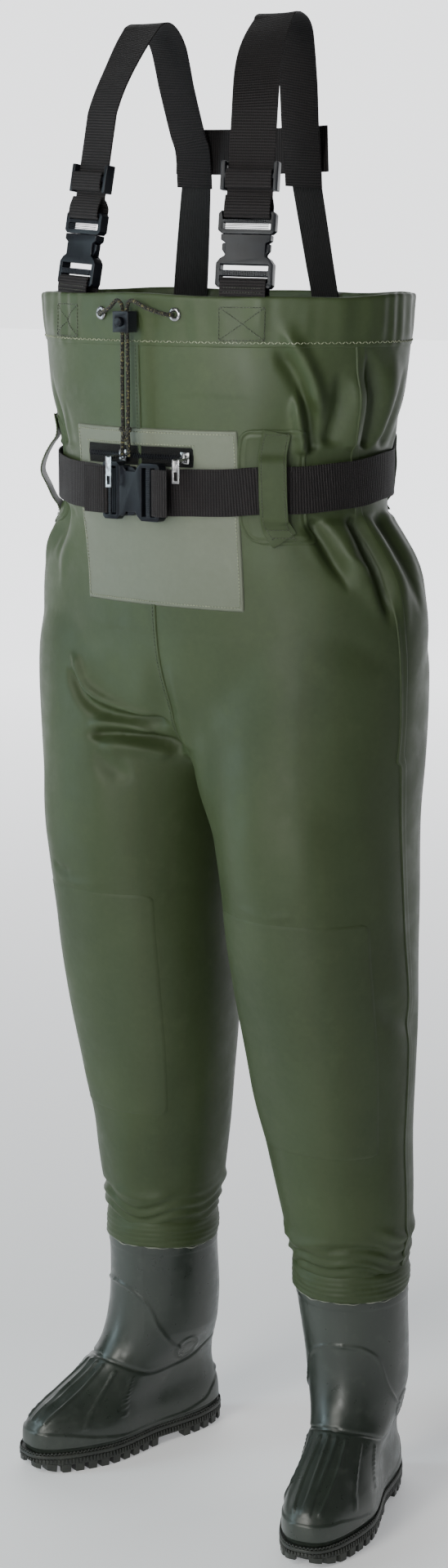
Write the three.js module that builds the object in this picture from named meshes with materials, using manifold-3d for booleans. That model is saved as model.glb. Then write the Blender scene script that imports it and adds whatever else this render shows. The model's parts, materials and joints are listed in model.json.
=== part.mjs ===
// Chest waders with boots, belt, chest pocket and adjustable shoulder straps.
// Millimetres, +Z up. The wearer faces -Y, the wearer's left is +X, soles stand on Z = 0.
import * as THREE from 'three';
import { mergeVertices } from 'three/addons/utils/BufferGeometryUtils.js';
import Module from 'manifold-3d';

const wasm = await Module();
wasm.setup();

// ---------- driving sizes ----------
const FABRIC = 2.0;              // coated fabric with its inner lining
const PATCH = 1.5;               // welded reinforcement patch
const SEAT = 1.4;                // gap between a surface and what is laid on it
const SEAM = 0.5;                // gap between two panels along a seam
const RUN = 0.4;                 // smallest running gap between two solids
const RIM_Z = 1400;              // top edge of the chest
const HEM_TALL = 48;             // drawcord hem round the top edge
const BOOT_TOP = 280;            // rim of the boot shaft
const SHAFT_R = 66;              // boot shaft radius at its rim
const RUBBER = 3.5;              // boot wall
const SOLE_TOP = 23.6;           // top of the outsole
const TREAD = 9.5;               // height of heel block and forefoot lugs
const FOOT_LENGTH = 286;         // outsole, heel to toe
const TOE_OUT = THREE.MathUtils.degToRad(15.5);
const HEEL = new THREE.Vector2(130, 150);   // back of the left heel on the floor
const WEB_WIDE = 50;             // webbing of belt and shoulder straps
const WEB = 2.0;                 // webbing thickness
const ELASTIC_WIDE = 40;         // rear elastic straps
const BUCKLE_WIDE = WEB_WIDE + 12;
const HALF = BUCKLE_WIDE / 2;
const BELT_OFF = 5;              // belt stands off the body over patch and pocket
const BELT_Z = 1197;             // belt centre height at the buckle
const CORD_R = 2.25;             // chest drawcord
const EYELET_X = 50;
const EYELET_Z = RIM_Z - 16;

// half width, half depth and centre of the body at each height
const TORSO = [
  [884, 180, 52, 12], [910, 228, 98, 12], [950, 249, 128, 12], [1030, 252, 134, 12],
  [1100, 243, 137, 9], [1145, 216, 141, 4], [1168, 199, 145, 1], [1235, 197, 147, 0],
  [1262, 206, 148, 0], [1300, 219, 149, 0], [RIM_Z, 228, 150, 0],
];
// centre x, centre y, half width, half depth of the left leg at each height
const LEG_FOOT_Z = BOOT_TOP + 4;
const LEG = [
  [LEG_FOOT_Z, 141, 59.5, SHAFT_R, SHAFT_R], [297, 141, 59.5, SHAFT_R, SHAFT_R],
  [314, 140, 58, 71, 71], [385, 136, 52, 79, 79], [450, 131, 46.5, 85.5, 85.5],
  [530, 129, 39, 94.5, 95], [610, 127, 30, 101, 106], [705, 123.5, 20, 106, 118],
  [830, 120, 12, 114, 127], [900, 118, 12, 121, 122], [1000, 118, 12, 118, 100],
];
const SEAM_LINE = [[270, 73], [340, 69], [450, 62], [600, 50], [750, 28], [900, 10],
  [1080, -12], [1225, -24], [1300, -38], [RIM_Z + 10, -49]];

const group = new THREE.Group();
const fabric = { color: 0x55653f, roughness: 0.42, metalness: 0 };
const patchCloth = { color: 0x66745a, roughness: 0.5, metalness: 0 };
const rubber = { color: 0x3a463a, roughness: 0.38, metalness: 0 };
const webbing = { color: 0x1d1817, roughness: 0.85, metalness: 0 };
const acetal = { color: 0x23262c, roughness: 0.35, metalness: 0 };
const nickel = { color: 0xc9ccd0, roughness: 0.2, metalness: 1 };
const cordBlack = { color: 0x16150f, roughness: 0.8, metalness: 0 };

function add(name, geometry, look) {
  const mesh = new THREE.Mesh(geometry, new THREE.MeshStandardMaterial(look));
  mesh.name = name;
  group.add(mesh);
  return mesh;
}

// value of every column of a table at height z, with smooth slopes between rows
function rowAt(table, z) {
  let i = 0;
  while (i < table.length - 2 && z > table[i + 1][0]) i++;
  const at = (k) => table[Math.min(Math.max(k, 0), table.length - 1)];
  const [p, a, b, n] = [at(i - 1), at(i), at(i + 1), at(i + 2)];
  const h = b[0] - a[0];
  const s = Math.min(Math.max((z - a[0]) / h, 0), 1);
  return a.slice(1).map((v, c) => {
    const m0 = i > 0 ? (b[c + 1] - p[c + 1]) / (b[0] - p[0]) * h : b[c + 1] - v;
    const m1 = n !== b ? (n[c + 1] - v) / (n[0] - a[0]) * h : b[c + 1] - v;
    const limit = (m, d) => (m * d <= 0 ? 0 : Math.sign(d) * Math.min(Math.abs(m), 3 * Math.abs(d)));
    const d = b[c + 1] - v;
    const [k0, k1] = [limit(m0, d), limit(m1, d)];
    return v + s * (k0 + s * ((3 * d - 2 * k0 - k1) + s * (k0 + k1 - 2 * d)));
  });
}

// ---------- solids ----------
// closed solid through equal rings of points; the end rings are capped
function loft(rings) {
  const n = rings[0].length;
  const points = rings.flat();
  const faces = [];
  for (let r = 0; r + 1 < rings.length; r++) {
    for (let i = 0; i < n; i++) {
      const [a, b] = [r * n + i, r * n + (i + 1) % n];
      faces.push(a, b, b + n, a, b + n, a + n);
    }
  }
  if (n === 4) {
    const e = (rings.length - 1) * n;
    faces.push(0, 2, 1, 0, 3, 2, e, e + 1, e + 2, e, e + 2, e + 3);
  } else {
    const middle = (ring) => ring.reduce((s, p) => s.add(p), new THREE.Vector3()).divideScalar(n);
    const [low, high] = [points.length, points.length + 1];
    points.push(middle(rings[0]), middle(rings.at(-1)));
    const e = (rings.length - 1) * n;
    for (let i = 0; i < n; i++) {
      const j = (i + 1) % n;
      faces.push(low, j, i, high, e + i, e + j);
    }
  }
  const geometry = new THREE.BufferGeometry();
  geometry.setAttribute('position', new THREE.Float32BufferAttribute(
    points.flatMap((p) => [p.x, p.y, p.z]), 3));
  geometry.setIndex(faces);
  return outward(geometry);
}

// turn every face outward when the solid came out inside out
function outward(geometry) {
  const p = geometry.attributes.position;
  const index = geometry.index.array;
  const [a, b, c] = [new THREE.Vector3(), new THREE.Vector3(), new THREE.Vector3()];
  let volume = 0;
  for (let i = 0; i < index.length; i += 3) {
    a.fromBufferAttribute(p, index[i]);
    b.fromBufferAttribute(p, index[i + 1]);
    c.fromBufferAttribute(p, index[i + 2]);
    volume += a.dot(b.cross(c));
  }
  if (volume < 0) {
    for (let i = 0; i < index.length; i += 3) {
      [index[i + 1], index[i + 2]] = [index[i + 2], index[i + 1]];
    }
  }
  geometry.computeVertexNormals();
  return geometry;
}

function toSolid(geometry) {
  const bare = geometry.clone();
  bare.deleteAttribute('normal');
  bare.deleteAttribute('uv');
  const merged = mergeVertices(bare, 1e-4);
  return new wasm.Manifold(new wasm.Mesh({
    numProp: 3,
    vertProperties: new Float32Array(merged.attributes.position.array),
    triVerts: new Uint32Array(merged.index.array),
  }));
}

function toGeometry(solid) {
  const mesh = solid.getMesh();
  const geometry = new THREE.BufferGeometry();
  const flat = [];
  for (let i = 0; i < mesh.vertProperties.length; i += mesh.numProp) {
    flat.push(mesh.vertProperties[i], mesh.vertProperties[i + 1], mesh.vertProperties[i + 2]);
  }
  geometry.setAttribute('position', new THREE.Float32BufferAttribute(flat, 3));
  geometry.setIndex(Array.from(mesh.triVerts));
  geometry.computeVertexNormals();
  return geometry;
}

function mirrored(geometry) {
  const copy = geometry.clone();
  copy.applyMatrix4(new THREE.Matrix4().makeScale(-1, 1, 1));
  if (!copy.index) copy.setIndex([...Array(copy.attributes.position.count).keys()]);
  return outward(copy);
}

function box(x0, x1, y0, y1, z0, z1) {
  return new THREE.BoxGeometry(x1 - x0, y1 - y0, z1 - z0)
    .translate((x0 + x1) / 2, (y0 + y1) / 2, (z0 + z1) / 2);
}

const boxSolid = (...sizes) => toSolid(box(...sizes));

// plate in the X-Z plane, y0 to y1, from a closed outline of [x, z] pairs
function plate(outline, y0, y1) {
  const shape = new THREE.Shape(outline.map(([x, z]) => new THREE.Vector2(x, z)));
  const geometry = new THREE.ExtrudeGeometry(shape, { depth: y1 - y0, bevelEnabled: false });
  geometry.rotateX(Math.PI / 2);          // outline y -> +Z, depth -> -Y
  geometry.translate(0, y1, 0);
  return geometry;
}

// flat strip along a list of stations: {p: point, w: direction across}
function ribbon(stations, width, thickness) {
  const rings = stations.map((s, i) => {
    const before = stations[Math.max(i - 1, 0)].p;
    const after = stations[Math.min(i + 1, stations.length - 1)].p;
    const along = after.clone().sub(before).normalize();
    const across = s.w.clone().addScaledVector(along, -s.w.dot(along)).normalize();
    const out = new THREE.Vector3().crossVectors(along, across);
    return [[-1, -1], [1, -1], [1, 1], [-1, 1]].map(([u, v]) => s.p.clone()
      .addScaledVector(across, u * width / 2).addScaledVector(out, v * thickness / 2));
  });
  return loft(rings);
}

// evenly spaced stations on a smooth line through the given points
function smoothStations(points, across, count, tension = 0.5) {
  const curve = new THREE.CatmullRomCurve3(points, false, 'catmullrom', tension);
  const turn = (s) => {
    const k = s * (across.length - 1);
    const i = Math.min(Math.floor(k), across.length - 2);
    return across[i].clone().lerp(across[i + 1], k - i);
  };
  return [...Array(count + 1).keys()].map((i) => ({
    p: curve.getPointAt(i / count), w: turn(curve.getUtoTmapping(i / count)),
  }));
}

// ---------- body surface ----------
function torsoPoint(angle, z, off) {
  const [a, b, yc] = rowAt(TORSO, z);
  return new THREE.Vector3((a + off) * Math.cos(angle), yc + (b + off) * Math.sin(angle), z);
}
function legPoint(angle, z, off) {
  const [xc, yc, rx, ry] = rowAt(LEG, z);
  return new THREE.Vector3(xc + (rx + off) * Math.cos(angle), yc + (ry + off) * Math.sin(angle), z);
}
const ringOf = (point, n, z, off) =>
  [...Array(n).keys()].map((i) => point(2 * Math.PI * (i + 0.5) / n, z, off));

function wallPatch(point, a0, a1, z0, z1, off, thick, na, nz) {
  // closed plate laid on a surface between two angles and two heights
  const rings = [];
  for (let k = 0; k <= nz; k++) {
    const z = z0 + (z1 - z0) * k / nz;
    const row = [];
    for (let i = 0; i <= na; i++) row.push(point(a0 + (a1 - a0) * i / na, z, off));
    for (let i = na; i >= 0; i--) row.push(point(a0 + (a1 - a0) * i / na, z, off + thick));
    rings.push(row);
  }
  return gridSolid(rings, na);
}

// like loft, but the end faces are strips of quads across the thickness
function gridSolid(rings, na) {
  const n = rings[0].length;
  const faces = [];
  for (let r = 0; r + 1 < rings.length; r++) {
    for (let i = 0; i < n; i++) {
      const [a, b] = [r * n + i, r * n + (i + 1) % n];
      faces.push(a, b, b + n, a, b + n, a + n);
    }
  }
  const e = (rings.length - 1) * n;
  for (let i = 0; i < na; i++) {
    const [p, q, r, s] = [i, i + 1, n - 2 - i, n - 1 - i];
    faces.push(p, r, q, p, s, r, e + p, e + q, e + r, e + p, e + r, e + s);
  }
  const geometry = new THREE.BufferGeometry();
  geometry.setAttribute('position', new THREE.Float32BufferAttribute(
    rings.flat().flatMap((p) => [p.x, p.y, p.z]), 3));
  geometry.setIndex(faces);
  return outward(geometry);
}

// ---------- wader body: four welded panels ----------
const TORSO_SIDES = 36;
const LEG_SIDES = 18;
const torsoHeights = TORSO.map((row) => row[0]);
const legHeights = LEG.map((row) => row[0]);
function bodySolid(off, grow) {
  const torsoRings = torsoHeights.map((z, i) => {
    const last = i === torsoHeights.length - 1;
    const ring = ringOf(torsoPoint, TORSO_SIDES, z, off);
    return ring.map((p) => p.setZ(last ? z + grow : i === 0 ? z + grow : z));
  });
  const legRings = legHeights.map((z, i) =>
    ringOf(legPoint, LEG_SIDES, z, off).map((p) => p.setZ(i === 0 ? z - grow : z)));
  const leg = loft(legRings);
  return toSolid(loft(torsoRings)).add(toSolid(leg)).add(toSolid(mirrored(leg)));
}
const shell = bodySolid(0, 0).subtract(bodySolid(-FABRIC, FABRIC));

function sidePrism(front, side) {
  const edge = SEAM_LINE.map(([z, y]) => [y + (front ? -SEAM / 2 : SEAM / 2), z]);
  const far = front ? -400 : 400;
  const outline = [...edge, [far, edge.at(-1)[1]], [far, edge[0][1]]];
  const shape = new THREE.Shape(outline.map(([y, z]) => new THREE.Vector2(y, z)));
  const geometry = new THREE.ExtrudeGeometry(shape, { depth: 400, bevelEnabled: false });
  geometry.applyMatrix4(new THREE.Matrix4().makeBasis(
    new THREE.Vector3(0, 1, 0), new THREE.Vector3(0, 0, 1), new THREE.Vector3(1, 0, 0)));
  geometry.translate(side > 0 ? SEAM / 2 : -400 - SEAM / 2, 0, 0);
  return toSolid(geometry);
}
for (const [name, front, side] of [['front_panel_left', true, 1], ['front_panel_right', true, -1],
  ['back_panel_left', false, 1], ['back_panel_right', false, -1]]) {
  add(name, toGeometry(shell.intersect(sidePrism(front, side))), fabric);
}

// hem round the chest edge, a closed band outside the panels
const hemRows = [RIM_Z - HEM_TALL, RIM_Z];
const hemRings = [
  ...hemRows.map((z) => ringOf(torsoPoint, TORSO_SIDES, z, SEAT)),
  ...hemRows.toReversed().map((z) => ringOf(torsoPoint, TORSO_SIDES, z, SEAT + PATCH)),
];
add('chest_hem', loopSolid(hemRings), fabric);

// closed tube wall: rings joined one after another and the last back to the first
function loopSolid(rings) {
  const n = rings[0].length;
  const faces = [];
  for (let r = 0; r < rings.length; r++) {
    for (let i = 0; i < n; i++) {
      const [a, b] = [r * n + i, r * n + (i + 1) % n];
      const [c, d] = [(r + 1) % rings.length * n + (i + 1) % n, (r + 1) % rings.length * n + i];
      faces.push(a, b, c, a, c, d);
    }
  }
  const geometry = new THREE.BufferGeometry();
  geometry.setAttribute('position', new THREE.Float32BufferAttribute(
    rings.flat().flatMap((p) => [p.x, p.y, p.z]), 3));
  geometry.setIndex(faces);
  return outward(geometry);
}

// knee patches on the front of both legs
const KNEE_MID = -Math.PI / 2 + TOE_OUT;
const knee = wallPatch(legPoint, KNEE_MID - 0.82, KNEE_MID + 0.82, 445, 685, SEAT, PATCH, 8, 5);
add('knee_patch_left', knee, patchCloth);
add('knee_patch_right', mirrored(knee), patchCloth);

// cuffs welding leg and boot together
const cuffRows = [BOOT_TOP - 12, BOOT_TOP + 14];
const CUFF_R = SHAFT_R + SEAT + 1.4;
const cuffRing = (z, r) => [...Array(LEG_SIDES).keys()].map((i) => {
  const a = 2 * Math.PI * (i + 0.5) / LEG_SIDES;
  return new THREE.Vector3(LEG[0][1] + r * Math.cos(a), LEG[0][2] + r * Math.sin(a), z);
});
const cuff = loopSolid([...cuffRows.map((z) => cuffRing(z, CUFF_R)),
  ...cuffRows.toReversed().map((z) => cuffRing(z, CUFF_R + PATCH))]);
add('boot_cuff_left', cuff, fabric);
add('boot_cuff_right', mirrored(cuff), fabric);

// ---------- boots ----------
const SHAFT_MIDDLE = 90.5;       // heel to the middle of the shaft at its rim
// back and front of the shaft, for a middle and how much deeper it is than its rim
const shaftAt = (middle, deeper) => [middle - SHAFT_R - deeper, middle + SHAFT_R + deeper];
// height, back of heel, front, share of round shaft, foot scale, shaft half width, inward lean
const BOOT = [
  [24, 6, 277, 0, 0.97, 50, 0], [34, 4, 281, 0, 1.0, 50, 0], [48, 5, 280, 0, 0.99, 50, 0],
  [60, 7, 272, 0, 0.94, 50, 0], [70, 9, 258, 0.08, 0.88, 50, 0], [80, 11, 240, 0.2, 0.84, 50, 0],
  [93, 12, 217, 0.4, 0.8, 50, 0], [108, 12, 193, 0.62, 0.8, 51, 0], [125, 11, 174, 0.82, 0.8, 53, 2],
  [148, ...shaftAt(86, 10), 1, 0.8, SHAFT_R - 10, 4], [185, ...shaftAt(83, 6), 1, 0.8, SHAFT_R - 7, 7],
  [230, ...shaftAt(86, 2), 1, 0.8, SHAFT_R - 3.5, 10.5],
  [BOOT_TOP, ...shaftAt(SHAFT_MIDDLE, 0), 1, 0.8, SHAFT_R, 13.6],
];
const FOOT_WIDTH = [[0, 42], [0.15, 44], [0.4, 40], [0.68, 53], [0.9, 50], [1, 48]];
const BOOT_SIDES = 20;
function footPlace(lateral, forward, z) {
  const [s, c] = [Math.sin(TOE_OUT), Math.cos(TOE_OUT)];
  return new THREE.Vector3(HEEL.x + forward * s + lateral * c, HEEL.y - forward * c + lateral * s, z);
}
function footRing(z, heel, toe, round, scale, shaft, lean, inset) {
  return [...Array(BOOT_SIDES).keys()].map((i) => {
    const turn = 2 * Math.PI * (i + 0.5) / BOOT_SIDES;
    const q = (1 - Math.cos(turn)) / 2;
    const swell = Math.sin(turn);
    const foot = (rowAt(FOOT_WIDTH, q)[0] * scale - inset) * Math.sign(swell) * Math.abs(swell) ** 0.72;
    const lateral = (1 - round) * foot + round * (shaft - inset) * swell - lean;
    return footPlace(lateral, heel + inset + (toe - heel - 2 * inset) * q, z);
  });
}
const bootRing = (z, inset) => footRing(z, ...rowAt(BOOT, z), inset);
const bootHeights = BOOT.map((row) => row[0]);
// up the inside, over the rim and down the outside
const upper = loft([
  ...bootHeights.filter((z, i) => i % 2 === 0).map((z) => bootRing(z, RUBBER)
    .map((p) => p.setZ(z === bootHeights[0] ? z + RUBBER : z))),
  ...bootHeights.toReversed().map((z) => bootRing(z, 0)),
]);
add('boot_upper_left', upper, rubber);
add('boot_upper_right', mirrored(upper), rubber);

const insoleRing = (z) => footRing(z, 6, 277, 0, 0.97, 50, 0, RUBBER + 0.9);
const insole = loft([insoleRing(24 + RUBBER + RUN), insoleRing(24 + RUBBER + RUN + 3)]);
add('insole_left', insole, cordBlack);
add('insole_right', mirrored(insole), cordBlack);

// outsole: welted slab, raised heel block and forefoot with lugs cut in its edge
function soleSolid() {
  const outline = (z) => footRing(z, 0, FOOT_LENGTH, 0, 1.05, 50, 0, 0);
  const whole = toSolid(loft([outline(0), outline(TREAD), outline(SOLE_TOP)]));
  const cutter = (f0, f1, l0, l1, z0, z1) => {
    const corners = (z) => [[l0, f0], [l1, f0], [l1, f1], [l0, f1]].map(([l, f]) => footPlace(l, f, z));
    return toSolid(loft([corners(z0), corners(z1)]));
  };
  let sole = whole.subtract(cutter(84, 116, -90, 90, -1, TREAD));
  for (const side of [-1, 1]) {
    for (let f = 16; f < 80; f += 16) {
      sole = sole.subtract(cutter(f, f + 5, side > 0 ? 34 : -70, side > 0 ? 70 : -34, -1, TREAD - 2));
    }
    for (let f = 128; f < 262; f += 16) {
      sole = sole.subtract(cutter(f, f + 5, side > 0 ? 40 : -70, side > 0 ? 70 : -40, -1, TREAD - 2));
    }
  }
  // toe spring: the tread rises over the last 30 mm
  const wedge = loft([[[-90, 252, -1], [90, 252, -1], [90, 300, -1], [-90, 300, -1]],
    [[-90, 252, 0], [90, 252, 0], [90, 300, 9], [-90, 300, 9]]]
    .map((ring) => ring.map(([l, f, z]) => footPlace(l, f, z))));
  return sole.subtract(toSolid(wedge));
}
const outsole = toGeometry(soleSolid());
add('outsole_left', outsole, rubber);
add('outsole_right', mirrored(outsole), rubber);

// ---------- chest pocket and zip ----------
const angleAtX = (x, z) => -Math.acos(x / rowAt(TORSO, z)[0]);
const ZIP_Z = BELT_Z + HALF + 6;
const ZIP_TALL = 20;
const ZIP_LEFT = 66;
const ZIP_RIGHT = -80;
const POCKET = { x0: -102, x1: 114, z0: 1070, z1: ZIP_Z + 30 };
const frontPatch = (x0, x1, z0, z1, off, thick, na, nz) => {
  const rings = [];
  for (let k = 0; k <= nz; k++) {
    const z = z0 + (z1 - z0) * k / nz;
    const at = (i, o) => torsoPoint(angleAtX(x0 + (x1 - x0) * i / na, z), z, o);
    rings.push([...[...Array(na + 1).keys()].map((i) => at(i, off)),
      ...[...Array(na + 1).keys()].toReversed().map((i) => at(i, off + thick))]);
  }
  return gridSolid(rings, na);
};
const pocketWhole = toSolid(frontPatch(POCKET.x0, POCKET.x1, POCKET.z0, POCKET.z1, SEAT + 0.4,
  PATCH, 12, 4));
const pocketMouth = boxSolid(ZIP_RIGHT, ZIP_LEFT, -200, 0,
  ZIP_Z - ZIP_TALL / 2, ZIP_Z + ZIP_TALL / 2);
add('pocket_patch', toGeometry(pocketWhole.subtract(pocketMouth)), patchCloth);
add('zip_tape', frontPatch(ZIP_RIGHT + 2, ZIP_LEFT - 2, ZIP_Z - ZIP_TALL / 2 + RUN,
  ZIP_Z + ZIP_TALL / 2 - RUN, SEAT + 0.2, PATCH, 10, 1), cordBlack);

// the zip follows a circle round the chest; the sliders ride on that circle
const CHEST_CURVE = 198 * 198 / 147;         // radius of the chest front at zip height
const ZIP_AXIS_Y = -147 + CHEST_CURVE;
const SLIDER_GAP = SEAT + 0.2 + PATCH + 0.8;
function onZip(angle, geometry) {
  geometry.rotateZ(angle);
  geometry.translate(0, ZIP_AXIS_Y, 0);
  return geometry;
}
const sliderBack = -CHEST_CURVE - SLIDER_GAP;
function zipSlider() {
  const base = boxSolid(-5, 5, sliderBack - 2.6, sliderBack, ZIP_Z - 6, ZIP_Z + 6);
  const bridge = boxSolid(-1.4, 1.4, sliderBack - 6.2, sliderBack - 2.5, ZIP_Z - 5, ZIP_Z + 4);
  const hole = boxSolid(-2, 2, sliderBack - 4.8, sliderBack - 2.61, ZIP_Z - 2.4, ZIP_Z + 2.2);
  return toGeometry(base.add(bridge).subtract(hole));
}
const PULL_Y = -CHEST_CURVE - 28;            // the pull hangs in front of belt and buckle
const PIN_Y = sliderBack - 3.7;
function zipPull(length) {
  // pin through the slider bridge, two arms leaning out over the buckle, then the hanging tag
  const top = ZIP_Z + 0.9;
  const arm = (x0, x1) => {
    const side = (x) => [[PIN_Y + 0.7, top - 1.6], [PIN_Y + 0.7, top], [PULL_Y - 0.8, top - 1],
      [PULL_Y - 0.8, top - 4]].map(([y, z]) => new THREE.Vector3(x, y, z));
    return toSolid(loft([side(x0), side(x1)]));
  };
  const pin = boxSolid(-4.2, 4.2, PIN_Y - 0.7, PIN_Y + 0.7, top - 1.6, top);
  const tag = boxSolid(-4.2, 4.2, PULL_Y - 0.8, PULL_Y + 0.8, top - length, top - 2)
    .subtract(boxSolid(-2.2, 2.2, PULL_Y - 2, PULL_Y + 2, top - length + 3, top - length + 12));
  return toGeometry(pin.add(arm(2.4, 4.2)).add(arm(-4.2, -2.4)).add(tag));
}
const SLIDER_A = -0.070;
const SLIDER_B = 0.225;
add('zip_slider_right', onZip(SLIDER_A, zipSlider()), nickel);
add('zip_slider_left', onZip(SLIDER_B, zipSlider()), nickel);
add('zip_pull_right', onZip(SLIDER_A, zipPull(34)), nickel);
add('zip_pull_left', onZip(SLIDER_B, zipPull(26)), nickel);

// ---------- side-release buckle in its own frame ----------
// X across the webbing, Z towards the male half, -Y the outer face
const OPEN = WEB_WIDE / 2 + 0.8;
function buckleFemale() {
  const outline = [[-27, 14], [27, 14], [27, 8], [22, 5], [22, -8], [27, -11], [HALF, -16],
    [HALF, -38], [HALF - 3, -41], [3 - HALF, -41], [-HALF, -38], [-HALF, -16], [-27, -11],
    [-22, -8], [-22, 5], [-27, 8]];
  return toGeometry(toSolid(plate(outline, -6, 6))
    .subtract(boxSolid(-24, 24, -3.8, 3.8, -12, 15))
    .subtract(boxSolid(-OPEN, OPEN, -7, 7, -23, -17))
    .subtract(boxSolid(-OPEN, OPEN, -7, 7, -35, -29)));
}
function buckleMale() {
  const outline = [[3 - HALF, 38], [-HALF, 35], [-HALF, 18], [-27, 14.6], [27, 14.6], [HALF, 18],
    [HALF, 35], [HALF - 3, 38]];
  return toGeometry(toSolid(plate(outline, -5, 5))
    .subtract(boxSolid(-OPEN, OPEN, -7, 7, 19.4, 26))
    .subtract(boxSolid(-OPEN, OPEN, -7, 7, 29.6, 34.6))
    .add(boxSolid(-5, 5, -3, 3, -8, 15)));
}
const PRONG_ROOT = 14.2;
function buckleProng(side) {
  const outline = [[14, PRONG_ROOT], [19, PRONG_ROOT], [20, 6], [26.2, 4.4], [26.2, -2], [21, -9],
    [16, -9.6], [14, 4]].map(([x, z]) => [side * x, z]);
  return plate(side > 0 ? outline : outline.toReversed(), -3, 3);
}
// bent end of a webbing: [y, z] pairs in the buckle frame
const wrapStations = (path, toWorld, across) => path.map(([y, z]) => ({
  p: new THREE.Vector3(0, y, z).applyMatrix4(toWorld), w: across,
}));

function addBuckle(prefix, toWorld) {
  add(prefix + '_female', buckleFemale().applyMatrix4(toWorld), acetal);
  add(prefix + '_male', buckleMale().applyMatrix4(toWorld), acetal);
  for (const [word, side] of [['a', 1], ['b', -1]]) {
    add(`${prefix}_prong_${word}`, buckleProng(side).applyMatrix4(toWorld), acetal);
  }
}

// ---------- belt ----------
const BUCKLE_Y = -159.5;
const beltFrame = new THREE.Matrix4().makeBasis(new THREE.Vector3(0, 0, 1),
  new THREE.Vector3(0, 1, 0), new THREE.Vector3(-1, 0, 0)).setPosition(0, BUCKLE_Y, BELT_Z);
addBuckle('belt_buckle', beltFrame);
const beltRise = (angle) => BELT_Z + 12 * (1 + Math.sin(angle));
const BELT_START = -Math.PI / 2 + 0.32;
const BELT_END = 1.5 * Math.PI - 0.32;
const upAxis = new THREE.Vector3(0, 0, 1);
const beltRun = [...Array(41).keys()].map((i) => {
  const angle = BELT_START + (BELT_END - BELT_START) * i / 40;
  const [a, b] = rowAt(TORSO, BELT_Z + 3);
  const off = BELT_OFF + WEB / 2;
  return { p: new THREE.Vector3((a + off) * Math.cos(angle), (b + off) * Math.sin(angle),
    beltRise(angle)), w: upAxis };
});
// webbing bent round the end bars: [distance from the buckle face, distance along]
const femaleTurn = [[-7.8, -44], [-7.8, -37], [-7.4, -33.6], [-5.4, -31.8], [0, -31.2],
  [5.4, -31.8], [7.4, -33.6], [7.8, -37], [7.8, -44]];
const maleTurn = [[6.8, 44], [6.8, 37], [6.4, 33.4], [4.6, 31.6], [0, 31.2], [-4.6, 31.6],
  [-6.4, 33.4], [-6.8, 37], [-6.8, 44]];
const femaleWrap = [[-6.2, -52], ...femaleTurn];
const maleWrap = [...maleTurn, [-4.6, 56], [-3.4, 64]];
const beltEnd = (path) => wrapStations(path, beltFrame, upAxis);
add('belt_webbing', ribbon([...beltEnd(femaleWrap), ...beltRun, ...beltEnd(maleWrap)],
  WEB_WIDE, WEB), webbing);

// belt loops standing over the belt at four places round the waist
const LOOP_WIDE = 30;
function beltLoop(angle) {
  const middle = beltRise(angle);
  const clear = WEB_WIDE / 2 + 6;
  const path = [[3.2, -clear - 17], [3.4, -clear - 11], [6.5, -clear - 6], [10.8, -clear], [11.2, -16],
    [11.2, 16], [10.8, clear], [6.5, clear + 7], [3.2, clear + 15], [2.9, clear + 35]];
  const side = new THREE.Vector3(-Math.sin(angle) * 197, Math.cos(angle) * 147, 0).normalize();
  return ribbon(path.map(([off, z]) => ({ p: torsoPoint(angle, middle + z, off), w: side })),
    LOOP_WIDE, PATCH);
}
const LOOPS = [['front_left', -0.76], ['side_right', -2.70], ['back_left', 0.80], ['back_right', 2.34]];
for (const [word, angle] of LOOPS) add('belt_loop_' + word, beltLoop(angle), fabric);

// ---------- shoulder straps ----------
const V = (x, y, z) => new THREE.Vector3(x, y, z);
const overRim = (x, y, above) => V(x, y, RIM_Z + above);
const YOKE_UP = 157;             // middle of the yoke above the rim
const END_UP = YOKE_UP - WEB_WIDE / 2 - 14;
const STRAPS = {
  left: { foot: overRim(119, -115, 52), lean: V(-2, 12, 100), face: 0.36,
    top: [overRim(100, -70, 250), overRim(90, -34, 288), overRim(85, 0, 297), overRim(80, 34, 280),
      overRim(70, 58, 232), overRim(52, 76, 180)],
    yoke: overRim(44, 84, YOKE_UP), end: overRim(42, 90, END_UP), hem: overRim(34, 134, -8) },
  right: { foot: overRim(-104, -115, 52), lean: V(8, 14, 100), face: -0.2,
    top: [overRim(-86, -68, 248), overRim(-92, -32, 284), overRim(-98, 0, 292), overRim(-106, 34, 272),
      overRim(-112, 58, 226), overRim(-112, 76, 180)],
    yoke: overRim(-110, 84, YOKE_UP), end: overRim(-112, 90, END_UP), hem: overRim(-127, 108, -8) },
};
const TRIGLIDE_Z = 74;           // centre of the tri-glide above the buckle centre
const INSIDE = 6.5;              // webbing sewn inside the hem, centre line off the fabric
const TRI_TALL = 30;
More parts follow.
